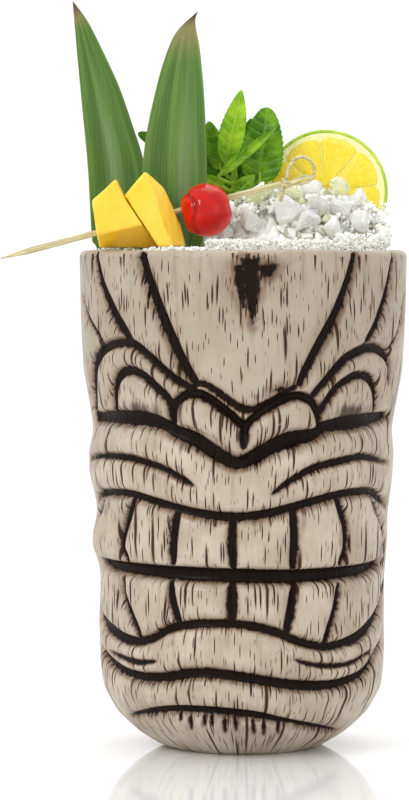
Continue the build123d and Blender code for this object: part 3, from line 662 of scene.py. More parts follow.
# painted shade and stain: the patches, frayed by the smear, darken the colour to a near-black brown
cloud = ramp(tree, calc(tree, "MULTIPLY_ADD", smear.outputs[0], 2.4, stain_and_shade_mask), 1.6, 2.6)
colour = tinted(tree, calc(tree, "MULTIPLY", cloud, 0.9), colour, (0.032, 0.014, 0.008, 1.0))
colour = tinted(tree, calc(tree, "MULTIPLY", washed["Brown"], 0.72), colour, wash_brown)
colour = tinted(tree, calc(tree, "MULTIPLY", ramp(tree, strokes, 0.0, 0.6), 0.75), colour,
                wash_brown)
colour = tinted(tree, calc(tree, "MULTIPLY", ramp(tree, strokes, 0.35, 0.9), 0.9), colour,
                (0.030, 0.013, 0.008, 1.0))
colour = tinted(tree, washed["Black"], colour, wash_black)
dark = calc(tree, "MAXIMUM", washed["Black"], strokes)
tree.links.new(ramp(tree, dark, 0.0, 1.0, 0.22, 0.05), shader.inputs["Coat Weight"])
tree.links.new(ramp(tree, dark, 0.0, 1.0, 0.15, 0.04), shader.inputs["Specular IOR Level"])
orange_peel = add(tree, "TexNoise", spread, Scale=0.6, Detail=3.0)
depth = calc(tree, "MULTIPLY_ADD", strokes, -1.0, calc(tree, "MULTIPLY", orange_peel.outputs[0], 0.22))
depth = calc(tree, "MULTIPLY_ADD", smear.outputs[0], 0.35, depth)
depth = calc(tree, "MULTIPLY_ADD", hair.outputs[0], 0.12, depth)
dress(tree, shader, colour, ramp(tree, dark, 0.0, 1.0, 0.45, 0.38), 0.8, 0.0004, depth,
      Coat_Roughness=0.2)

mug = surface_object("mug_carved", points, faces, clay)
for label, values in zip(("wash_edge", "wash_stain", "wash_fringe", "painted_shade_and_stain"), masks):
    bare = 9.0 if label == "wash_edge" else 0.0
    mask(mug, label, np.r_[values, bare, bare])
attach(mug, "mug")
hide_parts("mug_body")

# ---------------------------------------------------------------------------------------
# Crushed ice: packed into the mouth of the mug and heaped towards the back and the right.
# Broken lumps stand on a cloudy heap, and fine wet crystals lie along the rim.
# ---------------------------------------------------------------------------------------
heap_x, heap_y, heap_height = 12.0, 8.0, 17.0
heap_reach = (31.0, 22.0)
mouth_edge = rim_radius - rim_wall - 0.4
ice_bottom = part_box("ice_bed")[0][2] / MM
ice_air = 0.4                           # room kept round whatever lifts out of the ice


def paint(red, green, blue):
    """A display colour as the linear values that a shader takes."""
    return (*((v / 255 / 12.92 if v < 11 else ((v / 255 + 0.055) / 1.055) ** 2.4)
              for v in (red, green, blue)), 1.0)


def stand(piece, body, slot, *nodes):
    """A finished piece rides a body and stands for CAD nodes, which are hidden; the slot is not used.
    """
    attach(piece, body)
    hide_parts(*nodes)


def ice_finish(name, tint, cloud_tint, clearness, roughness):
    """Ice: glassy where it is clear, with frosted patches and trapped white air."""
    material, tree, shader = finish_material(name)
    place = add(tree, "TexCoord").outputs["Object"]
    frost = add(tree, "TexNoise", place, Scale=260.0, Detail=4.0, Roughness=0.6)
    flecks = add(tree, "TexVoronoi", place, Scale=700.0)
    share = ramp(tree, frost.outputs[0], 0.38, 0.66)
    rippled = calc(tree, "MULTIPLY_ADD", flecks.outputs["Distance"], 0.5, frost.outputs[0])
    dress(tree, shader, tinted(tree, share, tint, cloud_tint),
          ramp(tree, share, 0.0, 1.0, roughness, roughness + 0.3), 0.35, 0.0003, rippled,
          Subsurface_Weight=0.7, Subsurface_Radius=(1.0, 1.0, 1.0), Subsurface_Scale=0.0007,
          Transmission_Weight=clearness, IOR=1.31)
    return material


clear_ice = ice_finish("clear_ice", paint(252, 253, 246), paint(255, 255, 250), 0.4, 0.05)
white_ice = ice_finish("white_ice", paint(250, 250, 240), paint(255, 255, 248), 0.03, 0.2)
lime_ice = ice_finish("lime_tinted_ice", paint(236, 242, 196), paint(250, 251, 226), 0.45, 0.05)

standing_boxes = []
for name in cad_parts:
    if name.startswith(("mint", "lime", "cherry", "fruit", "pineapple")):
        low, high = (np.array(corner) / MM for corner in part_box(name))
        travel = {"cherry": 10.0, "fruit_chunk_inner": 6.0, "fruit_chunk_outer": 3.0}.get(name, 0)
        standing_boxes.append((low[0], high[0] + travel, low[1], high[1], low[2]))
low, high = (np.array(corner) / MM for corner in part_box("bamboo_pick"))
standing_boxes.append((0.0, high[0], low[1], high[1], 146.0))


def out_of_the_way(x, y, z, size):
    """Whether a lump at a point leaves every garnish room to lift straight out."""
    if math.hypot(x, y) + size > mouth_edge and z - size < rim_height + 0.5:
        return False
    reach = size + ice_air
    return not any(x0 - reach < x < x1 + reach and y0 - reach < y < y1 + reach and z + size > z0
                   for x0, x1, y0, y1, z0 in standing_boxes)


def heap_top(x, y):
    """Height of the heap over a point of the bed."""
    share = ((x - heap_x) / heap_reach[0]) ** 2 + ((y - heap_y) / heap_reach[1]) ** 2
    return rim_height + heap_height * math.sqrt(max(0.0, 1 - share))


def lump(build, x, y, z, size, dice, finish, flat=0.75):
    """One broken lump: the hull of scattered points, its edges melted round."""
    made = bmesh.new()
    turn = Matrix.Rotation(dice.uniform(0, 6.3), 3, Vector((dice.gauss(0, 1), dice.gauss(0, 1), 1)))
    spans = (size, size * dice.uniform(0.75, 1.0), size * dice.uniform(0.55, 0.9) * flat / 0.75)
    for _ in range(11):
        way = Vector((dice.gauss(0, 1), dice.gauss(0, 1), dice.gauss(0, 1))).normalized()
        way *= dice.uniform(0.85, 1.0)
        made.verts.new(turn @ Vector([a * b for a, b in zip(way, spans)]))
    hull = bmesh.ops.convex_hull(made, input=made.verts)
    bmesh.ops.delete(made, geom=[g for g in hull["geom_interior"] if isinstance(g, bmesh.types.BMVert)],
                     context="VERTS")
    bmesh.ops.dissolve_limit(made, angle_limit=0.2, verts=made.verts, edges=made.edges)
    bmesh.ops.bevel(made, geom=made.edges[:], offset=(0.2 if size > 2.9 else 0.1) * size,
                    segments=2, affect="EDGES", profile=0.55, clamp_overlap=True)
    bmesh.ops.triangulate(made, faces=made.faces)
    bmesh.ops.recalc_face_normals(made, faces=made.faces)
    start = len(build["points"])
    made.verts.index_update()
    build["points"] += [((x + v.co.x) * MM, (y + v.co.y) * MM, (z + v.co.z) * MM)
                        for v in made.verts]
    build["faces"] += [tuple(start + v.index for v in face.verts) for face in made.faces]
    build["finish"] += [finish] * len(made.faces)
    made.free()


def band_faces(rows, cols):
    """Faces that join each closed ring of points to the next."""
    return [(i * cols + j, i * cols + (j + 1) % cols, (i + 1) * cols + (j + 1) % cols,
             (i + 1) * cols + j) for i in range(rows) for j in range(cols)]


def new_pile():
    """Nothing yet of the points, the faces and the kinds of ice of a group of lumps."""
    return {"points": [], "faces": [], "finish": []}


def ice_piece(name, build, *nodes):
    """A group of lumps as one piece of the ice."""
    piece = surface_object(name, build["points"], build["faces"], clear_ice)
    piece.data.materials.append(white_ice)
    piece.data.materials.append(lime_ice)
    piece.data.polygons.foreach_set("material_index", build["finish"])
    stand(piece, "ice", "ice", *nodes)


dice = random.Random(5)
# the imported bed: a plug with a crumbled top
rows, cols = 26, 110
points, faces = [], []
for i in range(rows + 1):
    for j in range(cols):
        angle = 2 * math.pi * j / cols
        r = mouth_edge * i / rows
        x, y = r * math.sin(angle), r * math.cos(angle)
        bumpy = noise.noise(Vector((x, y, 0)) * 0.45) + 0.6 * noise.noise(Vector((x, y, 9)) * 1.3)
        points.append((x, y, rim_height - 0.9 + 0.9 * bumpy))
for level, shrink in ((0.2, 0.0), (0.45, 0.5), (0.7, 0.9), (0.95, 1.5), (1.0, 3.0)):
    for j in range(cols):
        angle = 2 * math.pi * j / cols
        r = mouth_edge - shrink + 0.5 * noise.noise(Vector((9 * angle, 20 * level, 3)))
        points.append((r * math.sin(angle), r * math.cos(angle),
                       rim_height - (rim_height - ice_bottom) * level))
points.append((0, 0, ice_bottom))
rings = rows + 5
faces += band_faces(rings, cols)
faces += [(rings * cols + j, rings * cols + (j + 1) % cols, len(points) - 1) for j in range(cols)]
bed = surface_object("ice_packed_bed", [Vector(p) * MM for p in points], faces, white_ice)
stand(bed, "ice", "ice", "ice_bed")

# the heap: a cloudy core, then lumps crowded over it
build = new_pile()
core_rows, core_cols = 34, 150
for i in range(core_rows + 1):
    for j in range(core_cols):
        angle = 2 * math.pi * j / core_cols
        share = math.sin(0.5 * math.pi * i / core_rows)
        x = heap_x + 0.9 * heap_reach[0] * share * math.sin(angle)
        y = heap_y + 0.9 * heap_reach[1] * share * math.cos(angle)
        away = math.hypot(x, y)
        if away > mouth_edge - 1:
            x, y = x * (mouth_edge - 1) / away, y * (mouth_edge - 1) / away
        z = rim_height + 0.86 * (heap_top(x, y) - rim_height) - 0.8
        z += 1.3 * noise.noise(Vector((x, y, 4)) * 0.33) + 0.9 * noise.noise(Vector((x, y, 7)) * 0.7)
        z += 2.4 * noise.noise(Vector((x, y, z)) * 0.34, noise_basis="VORONOI_F2F1") - 0.8
        build["points"].append((x * MM, y * MM, (z - (3 if i == core_rows else 0)) * MM))
build["faces"] += band_faces(core_rows, core_cols)
last = core_rows * core_cols
build["points"].append((heap_x * MM, heap_y * MM, (rim_height - 4) * MM))
build["faces"] += [(last + j, last + (j + 1) % core_cols, len(build["points"]) - 1)
                   for j in range(core_cols)]
build["finish"] += [1] * len(build["faces"])
for _ in range(2600):
    turned, raised_to = math.radians(dice.uniform(-180, 180)), math.radians(dice.uniform(4, 90))
    x = heap_x + heap_reach[0] * math.cos(raised_to) * math.sin(turned)
    y = heap_y - heap_reach[1] * math.cos(raised_to) * math.cos(turned)
    z = rim_height + heap_height * math.sin(raised_to)
    size = dice.choice((0.8, 1.2, 1.7, 2.3)) * dice.uniform(0.8, 1.2)
    if math.hypot(x, y) + size < mouth_edge and out_of_the_way(x, y, z, size):
        lump(build, x, y, z - 0.3 * size, size, dice, dice.choice((0, 1, 1, 1, 1, 2)))
ice_piece("ice_heap", build, "ice_mound")

# the large lumps: across, front to back, up, half size and which ice they are
large_lumps = {
    "left": [(5.4, -5.5, 148.6, 4.6, 2), (-3.2, -4.5, 143.6, 4.2, 0), (1.8, -9.3, 141.5, 4.4, 0),
             (-5.5, -7.8, 138.8, 3.6, 0)],
    "middle": [(11.6, -10.4, 144.4, 5.4, 0), (13.0, -3.0, 148.6, 4.4, 2), (19.6, -7.6, 146.2, 4.6, 0),
               (18.5, -1.5, 149.6, 4.2, 0), (8.5, 3.4, 150.0, 3.6, 0), (17.2, -14.0, 141.6, 4.2, 0)],
    "right": [(25.6, 0.8, 150.8, 4.3, 2), (30.6, -1.2, 147.6, 4.0, 0), (26.0, -7.2, 145.6, 4.6, 0),
              (34.6, 2.0, 143.0, 4.0, 0), (31.6, -9.0, 141.4, 4.2, 0), (24.4, -14.6, 139.8, 4.0, 0)],
}
for side, lumps in large_lumps.items():
    build = new_pile()
    for x, y, z, size, finish in lumps:
        lump(build, x, y, z, size, dice, finish, 0.95)
    ice_piece("ice_lumps_" + side, build, "ice_chunks_" + side)

# the crystals: fine grains along the rim, thick on the right and thin behind the fruit
for side, start, end, count in (("front", -55, 92, 3300), ("back", 92, 305, 1500)):
    build = new_pile()
    for _ in range(count):
        angle = math.radians(dice.uniform(start, end))
        r = mouth_edge * math.sqrt(dice.uniform(0.42, 1.0))
        x, y = r * math.sin(angle), -r * math.cos(angle)
        size = dice.uniform(0.28, 0.95)
        pile = 4.2 if x > 24 else 2.6 if x > -10 else 0.6
        z = max(rim_height, min(heap_top(x, y), rim_height + 9)) + dice.uniform(-0.4, 1.0) * pile
        over = math.hypot(x, y) + size - mouth_edge
        if over > 0:
            z = max(z, rim_height + size + 0.3)
        if z > rim_height + 5 and dice.random() < 0.6:
            continue
        if out_of_the_way(x, y, z, size):
            lump(build, x, y, z, size, dice, dice.choice((0, 1, 1)))
    ice_piece("ice_crystals_" + side, build, "ice_crumbs_" + side)

# ---------------------------------------------------------------------------------------
# Pineapple leaves: two stiff blades cut from the crown and pushed into the ice. Each is a
# shallow gutter, thick along the middle and sharp at its edges, with a dried brown tip.
# ---------------------------------------------------------------------------------------
leaf_curl, leaf_thick, leaf_root = 22.0, 1.4, 22.0
leaf_rows, leaf_cols = 170, 44


def leaf_finish(name, sheen_band_at, tip_age):
    """Pineapple leaf: fine parallel veins, a pale band of waxy bloom with painted sheen, and a dried
    tip.
    """
    material, tree, shader = finish_material(name)
    across, along = read_mask(tree, "leaf_across"), read_mask(tree, "leaf_along")
    lines = add(tree, "CombineXYZ", calc(tree, "MULTIPLY", across, 26.0),
                calc(tree, "MULTIPLY", along, 1.6), 0.0).outputs[0]
    veins = add(tree, "TexNoise", lines, Scale=1.0, Detail=4.0, Roughness=0.65).outputs[0]
    broad = add(tree, "CombineXYZ", calc(tree, "MULTIPLY", across, 3.2),
                calc(tree, "MULTIPLY", along, 1.3), 4.0).outputs[0]
    bands = add(tree, "TexNoise", broad, Scale=1.0, Detail=2.0).outputs[0]
    colour = tinted(tree, ramp(tree, bands, 0.36, 0.64), paint(66, 102, 34), paint(92, 130, 52))
    pale = calc(tree, "MULTIPLY", ramp(tree, veins, 0.46, 0.74), 0.5)
    colour = tinted(tree, pale, colour, paint(124, 156, 88))
    deep = calc(tree, "MULTIPLY", ramp(tree, veins, 0.5, 0.28), 0.55)
    colour = tinted(tree, deep, colour, paint(46, 82, 24))
    # waxy bloom and painted sheen: a pale band along the leaf at the given place across it, fading
    # towards the tip
    gone = calc(tree, "ABSOLUTE", calc(tree, "SUBTRACT", across, sheen_band_at))
    bloom_and_sheen = calc(tree, "MULTIPLY", ramp(tree, gone, 0.42, 0.02), ramp(tree, along, 0.86, 0.45))
    bloom_and_sheen = calc(tree, "MULTIPLY", bloom_and_sheen, calc(tree, "MULTIPLY_ADD", bands, 0.9, 0.1))
    colour = tinted(tree, bloom_and_sheen, colour, paint(128, 152, 112))
    aged = calc(tree, "MULTIPLY_ADD", bands, 0.08, along)
    colour = tinted(tree, calc(tree, "MULTIPLY", ramp(tree, aged, tip_age, 1.0), 0.8), colour,
                    paint(144, 130, 84))
    colour = tinted(tree, ramp(tree, aged, 0.99, 1.03), colour, paint(88, 66, 50))
    rim = calc(tree, "MULTIPLY", ramp(tree, calc(tree, "ABSOLUTE", across), 0.93, 1.0), 0.5)
    colour = tinted(tree, rim, colour, paint(128, 140, 70))
    place = add(tree, "TexCoord").outputs["Object"]
    specks = add(tree, "TexVoronoi", place, Scale=420.0)
    luck = add(tree, "SeparateColor", specks.outputs["Color"]).outputs[0]
    spots = calc(tree, "MULTIPLY", ramp(tree, specks.outputs["Distance"], 0.16, 0.06),
                 ramp(tree, luck, 0.90, 0.93))
    colour = tinted(tree, calc(tree, "MULTIPLY", spots, 0.14), colour, paint(180, 196, 136))
    dress(tree, shader, colour, ramp(tree, veins, 0.3, 0.7, 0.34, 0.5), 0.55, 0.0003, veins,
          Specular_IOR_Level=0.3)
    return material


def sheet_faces(rows, cols, start=0):
    """Faces of a closed sheet: a front grid, the grid behind it and the edge between them."""
    count = rows * cols
    grid = np.arange(count).reshape(rows, cols) + start
    quads = np.stack([grid[:-1, :-1], grid[:-1, 1:], grid[1:, 1:], grid[1:, :-1]], -1)
    quads = quads.reshape(-1, 4)
    loop = np.concatenate([grid[0], grid[1:, -1], grid[-1, -2::-1], grid[-2:0:-1, 0]])
    skirt = np.stack([loop, loop + count, np.roll(loop, -1) + count, np.roll(loop, -1)], -1)
    return quads.tolist() + (quads[:, ::-1] + count).tolist() + skirt.tolist()


def pineapple_leaf(name, body, x, y, height, tip, edges, root, sheen_band_at, tip_age, twist):
    sides = []
    for points, root_x in zip(edges, root):
        line = [(x + dx, rim_height + share * height) for dx, share in [tip] + points]
        side = through(line + [(x + root_x, rim_height - leaf_root)], 400)
        sides.append(side[np.argsort(side[:, 1])])
    bottom, top = rim_height - leaf_root, rim_height + height
    level = bottom + (top - bottom) * (1 - (1 - np.linspace(0, 1, leaf_rows)) ** 1.25)
    left, right = (np.interp(level, side[:, 1], side[:, 0]) for side in sides)
    across = np.linspace(-1, 1, leaf_cols)
    middle = x + 0.5 * (edges[0][-1][0] + edges[1][-1][0])
    px = 0.5 * (left + right)[:, None] + 0.5 * (right - left)[:, None] * across
    pz = level[:, None] + 0 * px
    off = np.clip(px - middle, -leaf_curl + 1, leaf_curl - 1)
    front = y - leaf_curl + np.sqrt(leaf_curl ** 2 - off ** 2)
    front += 0.035 * np.sin(px * 5.2 + 0.6 * np.sin(pz * 0.08)) * (1 - across ** 2)
    front += twist * across * np.sin(0.07 * (pz - rim_height)) * (pz > rim_height)
    thick = 0.12 + (leaf_thick - 0.12) * np.sqrt(np.clip(1 - across ** 2, 0, 1))
    thick = thick * np.clip((right - left) / 6.0, 0.15, 1)[:, None]
    back = front + thick
    share = (pz - bottom) / (top - bottom)
    points = np.concatenate([np.stack([px, front, pz], -1).reshape(-1, 3),
                             np.stack([px, back, pz], -1).reshape(-1, 3)]) * MM
    leaf = surface_object(name, points, sheet_faces(leaf_rows, leaf_cols),
                          leaf_finish(name + "_green", sheen_band_at, tip_age))
    mask(leaf, "leaf_across", np.tile(np.tile(across, leaf_rows), 2))
    mask(leaf, "leaf_along", np.tile(share.ravel(), 2))
    stand(leaf, body, "pineapple_leaf", name.replace("blade", "leaf"))


pineapple_leaf("pineapple_blade_left", "leaf_left", -40.4, 2.0, 67.0, (-5.4, 1.0),
               ([(-4.3, 0.80), (-3.0, 0.59), (-1.4, 0.33), (-0.3, 0.04), (1.0, 0.0)],
                [(-1.4, 0.92), (2.7, 0.80), (7.0, 0.66), (10.5, 0.51), (13.6, 0.36),
                 (14.9, 0.20), (14.4, 0.06), (13.4, 0.0)]), (4.4, 10.4), -0.1, 0.95, 0.5)
pineapple_leaf("pineapple_blade_right", "leaf_right", -18.0, -4.0, 64.0, (5.9, 1.0),
               ([(0.0, 0.91), (-3.5, 0.78), (-6.2, 0.62), (-8.1, 0.47), (-9.0, 0.33),
                 (-8.8, 0.15), (-7.5, 0.0)],
                [(5.2, 0.95), (6.5, 0.83), (7.6, 0.64), (8.1, 0.45), (8.3, 0.28),
                 (7.3, 0.06), (6.5, 0.0)]), (-4.0, 3.5), 0.3, 0.86, -0.4)

# ---------------------------------------------------------------------------------------
# Mint: the tip of one sprig, its stem pushed into the ice. Nine toothed leaves, puckered
# between their veins, the tall young one yellow-green and the others deep green.
# ---------------------------------------------------------------------------------------
stem_x, stem_y, stem_root, stem_height = -2.0, 7.0, 18.0, 24.0
stem_thick, stalk_thick = 2.2, 1.2
leaf_along, leaf_across = 56, 30
# name, height of its joint on the stem, base and tip, width, youth, fold and droop
mint_leaves = [
    ("tall", 21.0, (-4.6, 5.4, 23.5), (-0.3, 4.6, 43.5), 8.0, 1.0, 0.34, 0.6),
    ("broad", 16.0, (4.4, 4.4, 18.5), (6.6, 3.0, 38.6), 12.5, 0.12, 0.16, 1.6),
    ("narrow", 18.0, (-6.6, 1.6, 20.0), (9.2, 1.0, 33.2), 3.4, 0.55, 0.5, 0.2),
    ("side", 19.0, (-5.8, 7.2, 22.0), (-9.3, 7.4, 35.0), 6.0, 0.3, 0.3, 0.6),
    ("low", 14.5, (-1.6, 2.0, 15.4), (3.2, 1.6, 20.4), 5.0, 0.25, 0.2, 0.8),
    ("spur", 16.4, (-5.0, 3.4, 17.0), (-10.8, 3.0, 20.2), 3.6, 0.5, 0.2, 0.3),
    ("back", 18.5, (-4.0, 11.4, 21.0), (-28.6, 11.4, 32.0), 7.0, 0.1, 0.2, 0.8),
    ("shaded", 15.0, (-3.4, 8.8, 15.0), (-7.0, 9.2, 31.0), 10.0, 0.0, 0.2, 0.8),
    ("inner", 15.5, (0.6, 8.6, 17.0), (2.4, 9.4, 36.0), 10.0, 0.05, 0.2, 0.8),
]


def tube(name, line, widths, material, sides=14, flat=1.0, wide_way=(0, 1, 0)):
    """A solid strip along a line in millimetres: its half-widths, and its flatness."""
    line = np.array(line, float)
    ahead = np.gradient(line, axis=0)
    ahead /= np.linalg.norm(ahead, axis=1)[:, None]
    first = np.cross(ahead, np.array(wide_way, float))
    first /= np.linalg.norm(first, axis=1)[:, None]
    second = np.cross(first, ahead)
    widths = np.broadcast_to(widths, (len(line),))[:, None, None]
    swing = np.linspace(0, 2 * math.pi, sides, endpoint=False)[None, :, None]
    ring = (line[:, None, :] + widths * flat * np.cos(swing) * first[:, None, :]
            + widths * np.sin(swing) * second[:, None, :])
    points = np.vstack([ring.reshape(-1, 3), line[:1], line[-1:]]) * MM
    faces = [(i * sides + j, (i + 1) * sides + j, (i + 1) * sides + (j + 1) % sides,
              i * sides + (j + 1) % sides) for i in range(len(line) - 1) for j in range(sides)]
    last = (len(line) - 1) * sides
    faces += [(j, (j + 1) % sides, len(points) - 2) for j in range(sides)]
    faces += [(last + (j + 1) % sides, last + j, len(points) - 1) for j in range(sides)]
    return surface_object(name, points, faces, material)


mint, tree, shader = finish_material("mint_green")
youth, vein, border = (read_mask(tree, k) for k in ("mint_youth", "mint_vein", "mint_border"))
place = add(tree, "TexCoord").outputs["Object"]
cloud = add(tree, "TexNoise", place, Scale=190.0, Detail=3.0).outputs[0]
grown = tinted(tree, ramp(tree, cloud, 0.34, 0.66), paint(44, 92, 0), paint(96, 146, 14))
young = tinted(tree, ramp(tree, cloud, 0.34, 0.66), paint(104, 160, 4), paint(160, 202, 36))
colour = tinted(tree, youth, grown, young)
colour = tinted(tree, calc(tree, "MULTIPLY", vein, 0.6), colour,
                tinted(tree, youth, paint(140, 180, 66), paint(196, 222, 104)))
colour = tinted(tree, calc(tree, "MULTIPLY", border, 0.5), colour, paint(56, 104, 12))
cells = add(tree, "TexVoronoi", place, Scale=1500.0)
grain_height = calc(tree, "MULTIPLY_ADD", cells.outputs["Distance"], 0.4, cloud)
dress(tree, shader, colour, ramp(tree, cloud, 0.3, 0.7, 0.32, 0.5), 0.5, 0.0003, grain_height,
      Specular_IOR_Level=0.2, Subsurface_Weight=0.12, Subsurface_Radius=(0.5, 1.0, 0.2),
      Subsurface_Scale=0.001)


def stem_masks(piece, youth, vein):
    """A stem or stalk is of one age and vein all over, and has no border."""
    for name, value in (("mint_youth", youth), ("mint_vein", vein), ("mint_border", 0.0)):
        mask(piece, name, np.full(len(piece.data.vertices), value))


def mint_leaf(label, node_z, base, tip, width, youth, fold, droop):
    base, tip = (Vector((p[0], p[1], rim_height + p[2])) for p in (base, tip))
    way = tip - base
    length = way.length
    way.normalize()
    facing = Vector((0, -1, 0))
    facing = (facing - way * facing.dot(way)).normalized()
    side = facing.cross(way)
    a = np.linspace(0, 1, leaf_along)[:, None]
    s = np.linspace(-1, 1, leaf_across)[None, :]
    blunt = 0.46 if width > 10 or label in ("back", "side") else 0.7
    half = width / 2 * np.sin(np.pi * a ** 0.74) ** blunt * (1 - 0.14 * a)
    pairs = max(4, round(length / 2.8))
    teeth = (a * pairs * 2.0) % 1.0
    half = half * (1 + 0.10 * (teeth - 0.6) * np.sin(np.pi * np.clip(a, 0, 1)))
    # side veins leave the midrib in pairs and curve towards the tip
    phase = (a * (pairs + 1) - 0.95 * np.abs(s) ** 1.25 * (1.1 - 0.4 * a)) % 1.0
    ridge = np.minimum(phase, 1 - phase)
    side_vein = np.clip(1 - ridge / 0.10, 0, 1) * np.clip((1 - np.abs(s)) * 4, 0, 1)
    midrib = np.clip(1 - np.abs(s) * half / 0.28, 0, 1)
    pucker = 0.045 * width * np.sin(np.pi * phase) * np.clip((1 - np.abs(s)) * 3, 0, 1)
    pucker = pucker * np.clip(np.abs(s) * 4, 0, 1) * np.sin(np.pi * np.clip(a, 0.03, 0.97))
    lift = fold * np.abs(s) * half + pucker - 0.12 * midrib
    lift = lift - droop * (a ** 2) + 0.35 * np.sin(9 * a + 3 * s + node_z) * np.abs(s) * half / 4
    out = s * half * (1 - 0.12 * fold)
    place = (np.array(base)[None, None] + (a * length)[..., None] * np.array(way)
             + out[..., None] * np.array(side) + lift[..., None] * np.array(facing))
    skin = 0.30 * (1 - 0.6 * np.abs(s)) + 0.16 * midrib + 0 * a
    behind = place - skin[..., None] * np.array(facing)
    count = leaf_along * leaf_across
    points = np.concatenate([place.reshape(-1, 3), behind.reshape(-1, 3)]) * MM
    blade = surface_object("mint_" + label, points, sheet_faces(leaf_along, leaf_across), mint)
    veins = np.maximum(side_vein * 0.8, midrib)
    mask(blade, "mint_youth", np.full(2 * count, youth))
    mask(blade, "mint_vein", np.tile(veins.ravel(), 2))
    mask(blade, "mint_border", np.tile((np.clip(np.abs(s) - 0.9, 0, 0.1) * 10 + 0 * a).ravel(), 2))
    foot = Vector((stem_x, stem_y, rim_height + node_z))
    elbow = foot.lerp(base, 0.55) + Vector((0, 0, -0.5))
    stalk_line = through([foot, elbow, base, base + way * 0.12 * length], 14)
    stalk = tube("mint_stalk_" + label, stalk_line, np.linspace(0.5, 0.32, 14) * stalk_thick, mint)
    stem_masks(stalk, 0.7, 0.5)
    stalk.parent = blade
    stand(blade, "mint_sprig", "mint", "mint_leaf_" + label)


for row in mint_leaves:
    mint_leaf(*row)
steps = np.linspace(0, 1, 60)
climb = steps * (stem_root + stem_height) - stem_root
swell = sum(0.35 * np.exp(-((climb - joint) / 0.7) ** 2) for joint in (12.0, 16.2, 20.0))
stem_line = np.stack([stem_x + 0.25 * np.sin(5 * steps), stem_y + 0.2 * np.sin(4 * steps + 1),
                      rim_height + climb], -1)
stem = tube("mint_main_stem", stem_line, stem_thick / 2 * (1 - 0.3 * steps + swell), mint)
stem_masks(stem, 0.75, 0.35)
stand(stem, "mint_sprig", "mint", "mint_stem")

# ---------------------------------------------------------------------------------------
# Lime slice: one wheel cut across the fruit, standing on edge in the ice. Dimpled green
# peel, pale pith that runs in as membranes, and eight segments of juicy yellow sacs.
# ---------------------------------------------------------------------------------------
rind_low, rind_high = (np.array(corner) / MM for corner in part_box("lime_rind"))
lime_x, lime_y, lime_z = 0.5 * (rind_low + rind_high)
lime_radius = 0.5 * (rind_high[0] - rind_low[0])
lime_half = 0.5 * (rind_high[1] - rind_low[1])
peel_thick, pith_thick, segment_count, membrane = 0.9, 1.3, 8, 0.8
pith_radius = lime_radius - peel_thick
flesh_radius = pith_radius - pith_thick


def ring_mesh(name, outline, sides, material, dimple=0.0):
    """A closed outline of (radius, depth) turned about the slice's axis."""
    points, faces, rows = [], [], len(outline)
    for j in range(sides):
        angle = 2 * math.pi * j / sides
        for r, depth in outline:
            way = Vector((math.sin(angle), depth, math.cos(angle)))
            r += dimple * noise.noise(Vector((way.x * 19, depth * 1.2, way.z * 19)))
            points.append(Vector((lime_x + r * way.x, lime_y + depth, lime_z + r * way.z)) * MM)
    for j in range(sides):
        after = (j + 1) % sides
        faces += [(j * rows + k, after * rows + k, after * rows + (k + 1) % rows,
                   j * rows + (k + 1) % rows) for k in range(rows)]
    return surface_object(name, points, faces, material)


peel_green, tree, shader = finish_material("lime_peel")
place = add(tree, "TexCoord").outputs["Object"]
pores = add(tree, "TexVoronoi", place, Scale=1100.0)
patches = add(tree, "TexNoise", place, Scale=120.0, Detail=3.0).outputs[0]
colour = tinted(tree, ramp(tree, patches, 0.35, 0.65), paint(150, 190, 30), paint(196, 216, 70))
colour = tinted(tree, ramp(tree, pores.outputs["Distance"], 0.25, 0.05, 0.0, 0.45), colour,
                paint(96, 150, 20))
dress(tree, shader, colour, ramp(tree, patches, 0.3, 0.7, 0.25, 0.4), 0.7, 0.0003,
      pores.outputs["Distance"])
outline = [(pith_radius, -lime_half + 0.02), (lime_radius - 0.45, -lime_half + 0.05),
           (lime_radius - 0.12, -lime_half + 0.3)]
outline += [(lime_radius - 0.02, depth) for depth in np.linspace(-lime_half + 0.7, lime_half - 0.7, 9)]
outline += [(lime_radius - 0.12, lime_half - 0.3), (lime_radius - 0.45, lime_half - 0.05),
            (pith_radius, lime_half - 0.02)]
outline += [(pith_radius - 0.02, depth) for depth in (1.2, -1.2)]
peel = ring_mesh("lime_peel", outline, 260, peel_green, dimple=0.07)
stand(peel, "lime_slice", "lime_rind", "lime_rind")

pale, tree, shader = finish_material("lime_pith_pale")
place = add(tree, "TexCoord").outputs["Object"]
fluff = add(tree, "TexNoise", place, Scale=700.0, Detail=4.0).outputs[0]
soaked = read_mask(tree, "pith_out")
colour = tinted(tree, ramp(tree, fluff, 0.35, 0.65), paint(236, 232, 150), paint(246, 242, 184))
colour = tinted(tree, ramp(tree, soaked, 0.84, 0.90, 0.8, 0.0), colour, paint(244, 226, 92))
dress(tree, shader, colour, ramp(tree, fluff, 0.3, 0.7, 0.45, 0.6), 0.4, 0.0003, fluff)
outline = [(0.02, -lime_half + 0.32), (2.0, -lime_half + 0.26)]
outline += [(r, -lime_half + 0.24) for r in np.linspace(3, flesh_radius, 8)]
outline += [(pith_radius - 0.3, -lime_half + 0.10), (pith_radius, -lime_half + 0.04)]
outline += [(r, -depth) for r, depth in outline[::-1]]
pith = ring_mesh("lime_white_pith", outline, 200, pale)
mask(pith, "pith_out", [r / pith_radius for r, depth in outline] * 200)
stand(pith, "lime_slice", "lime_pith", "lime_pith")

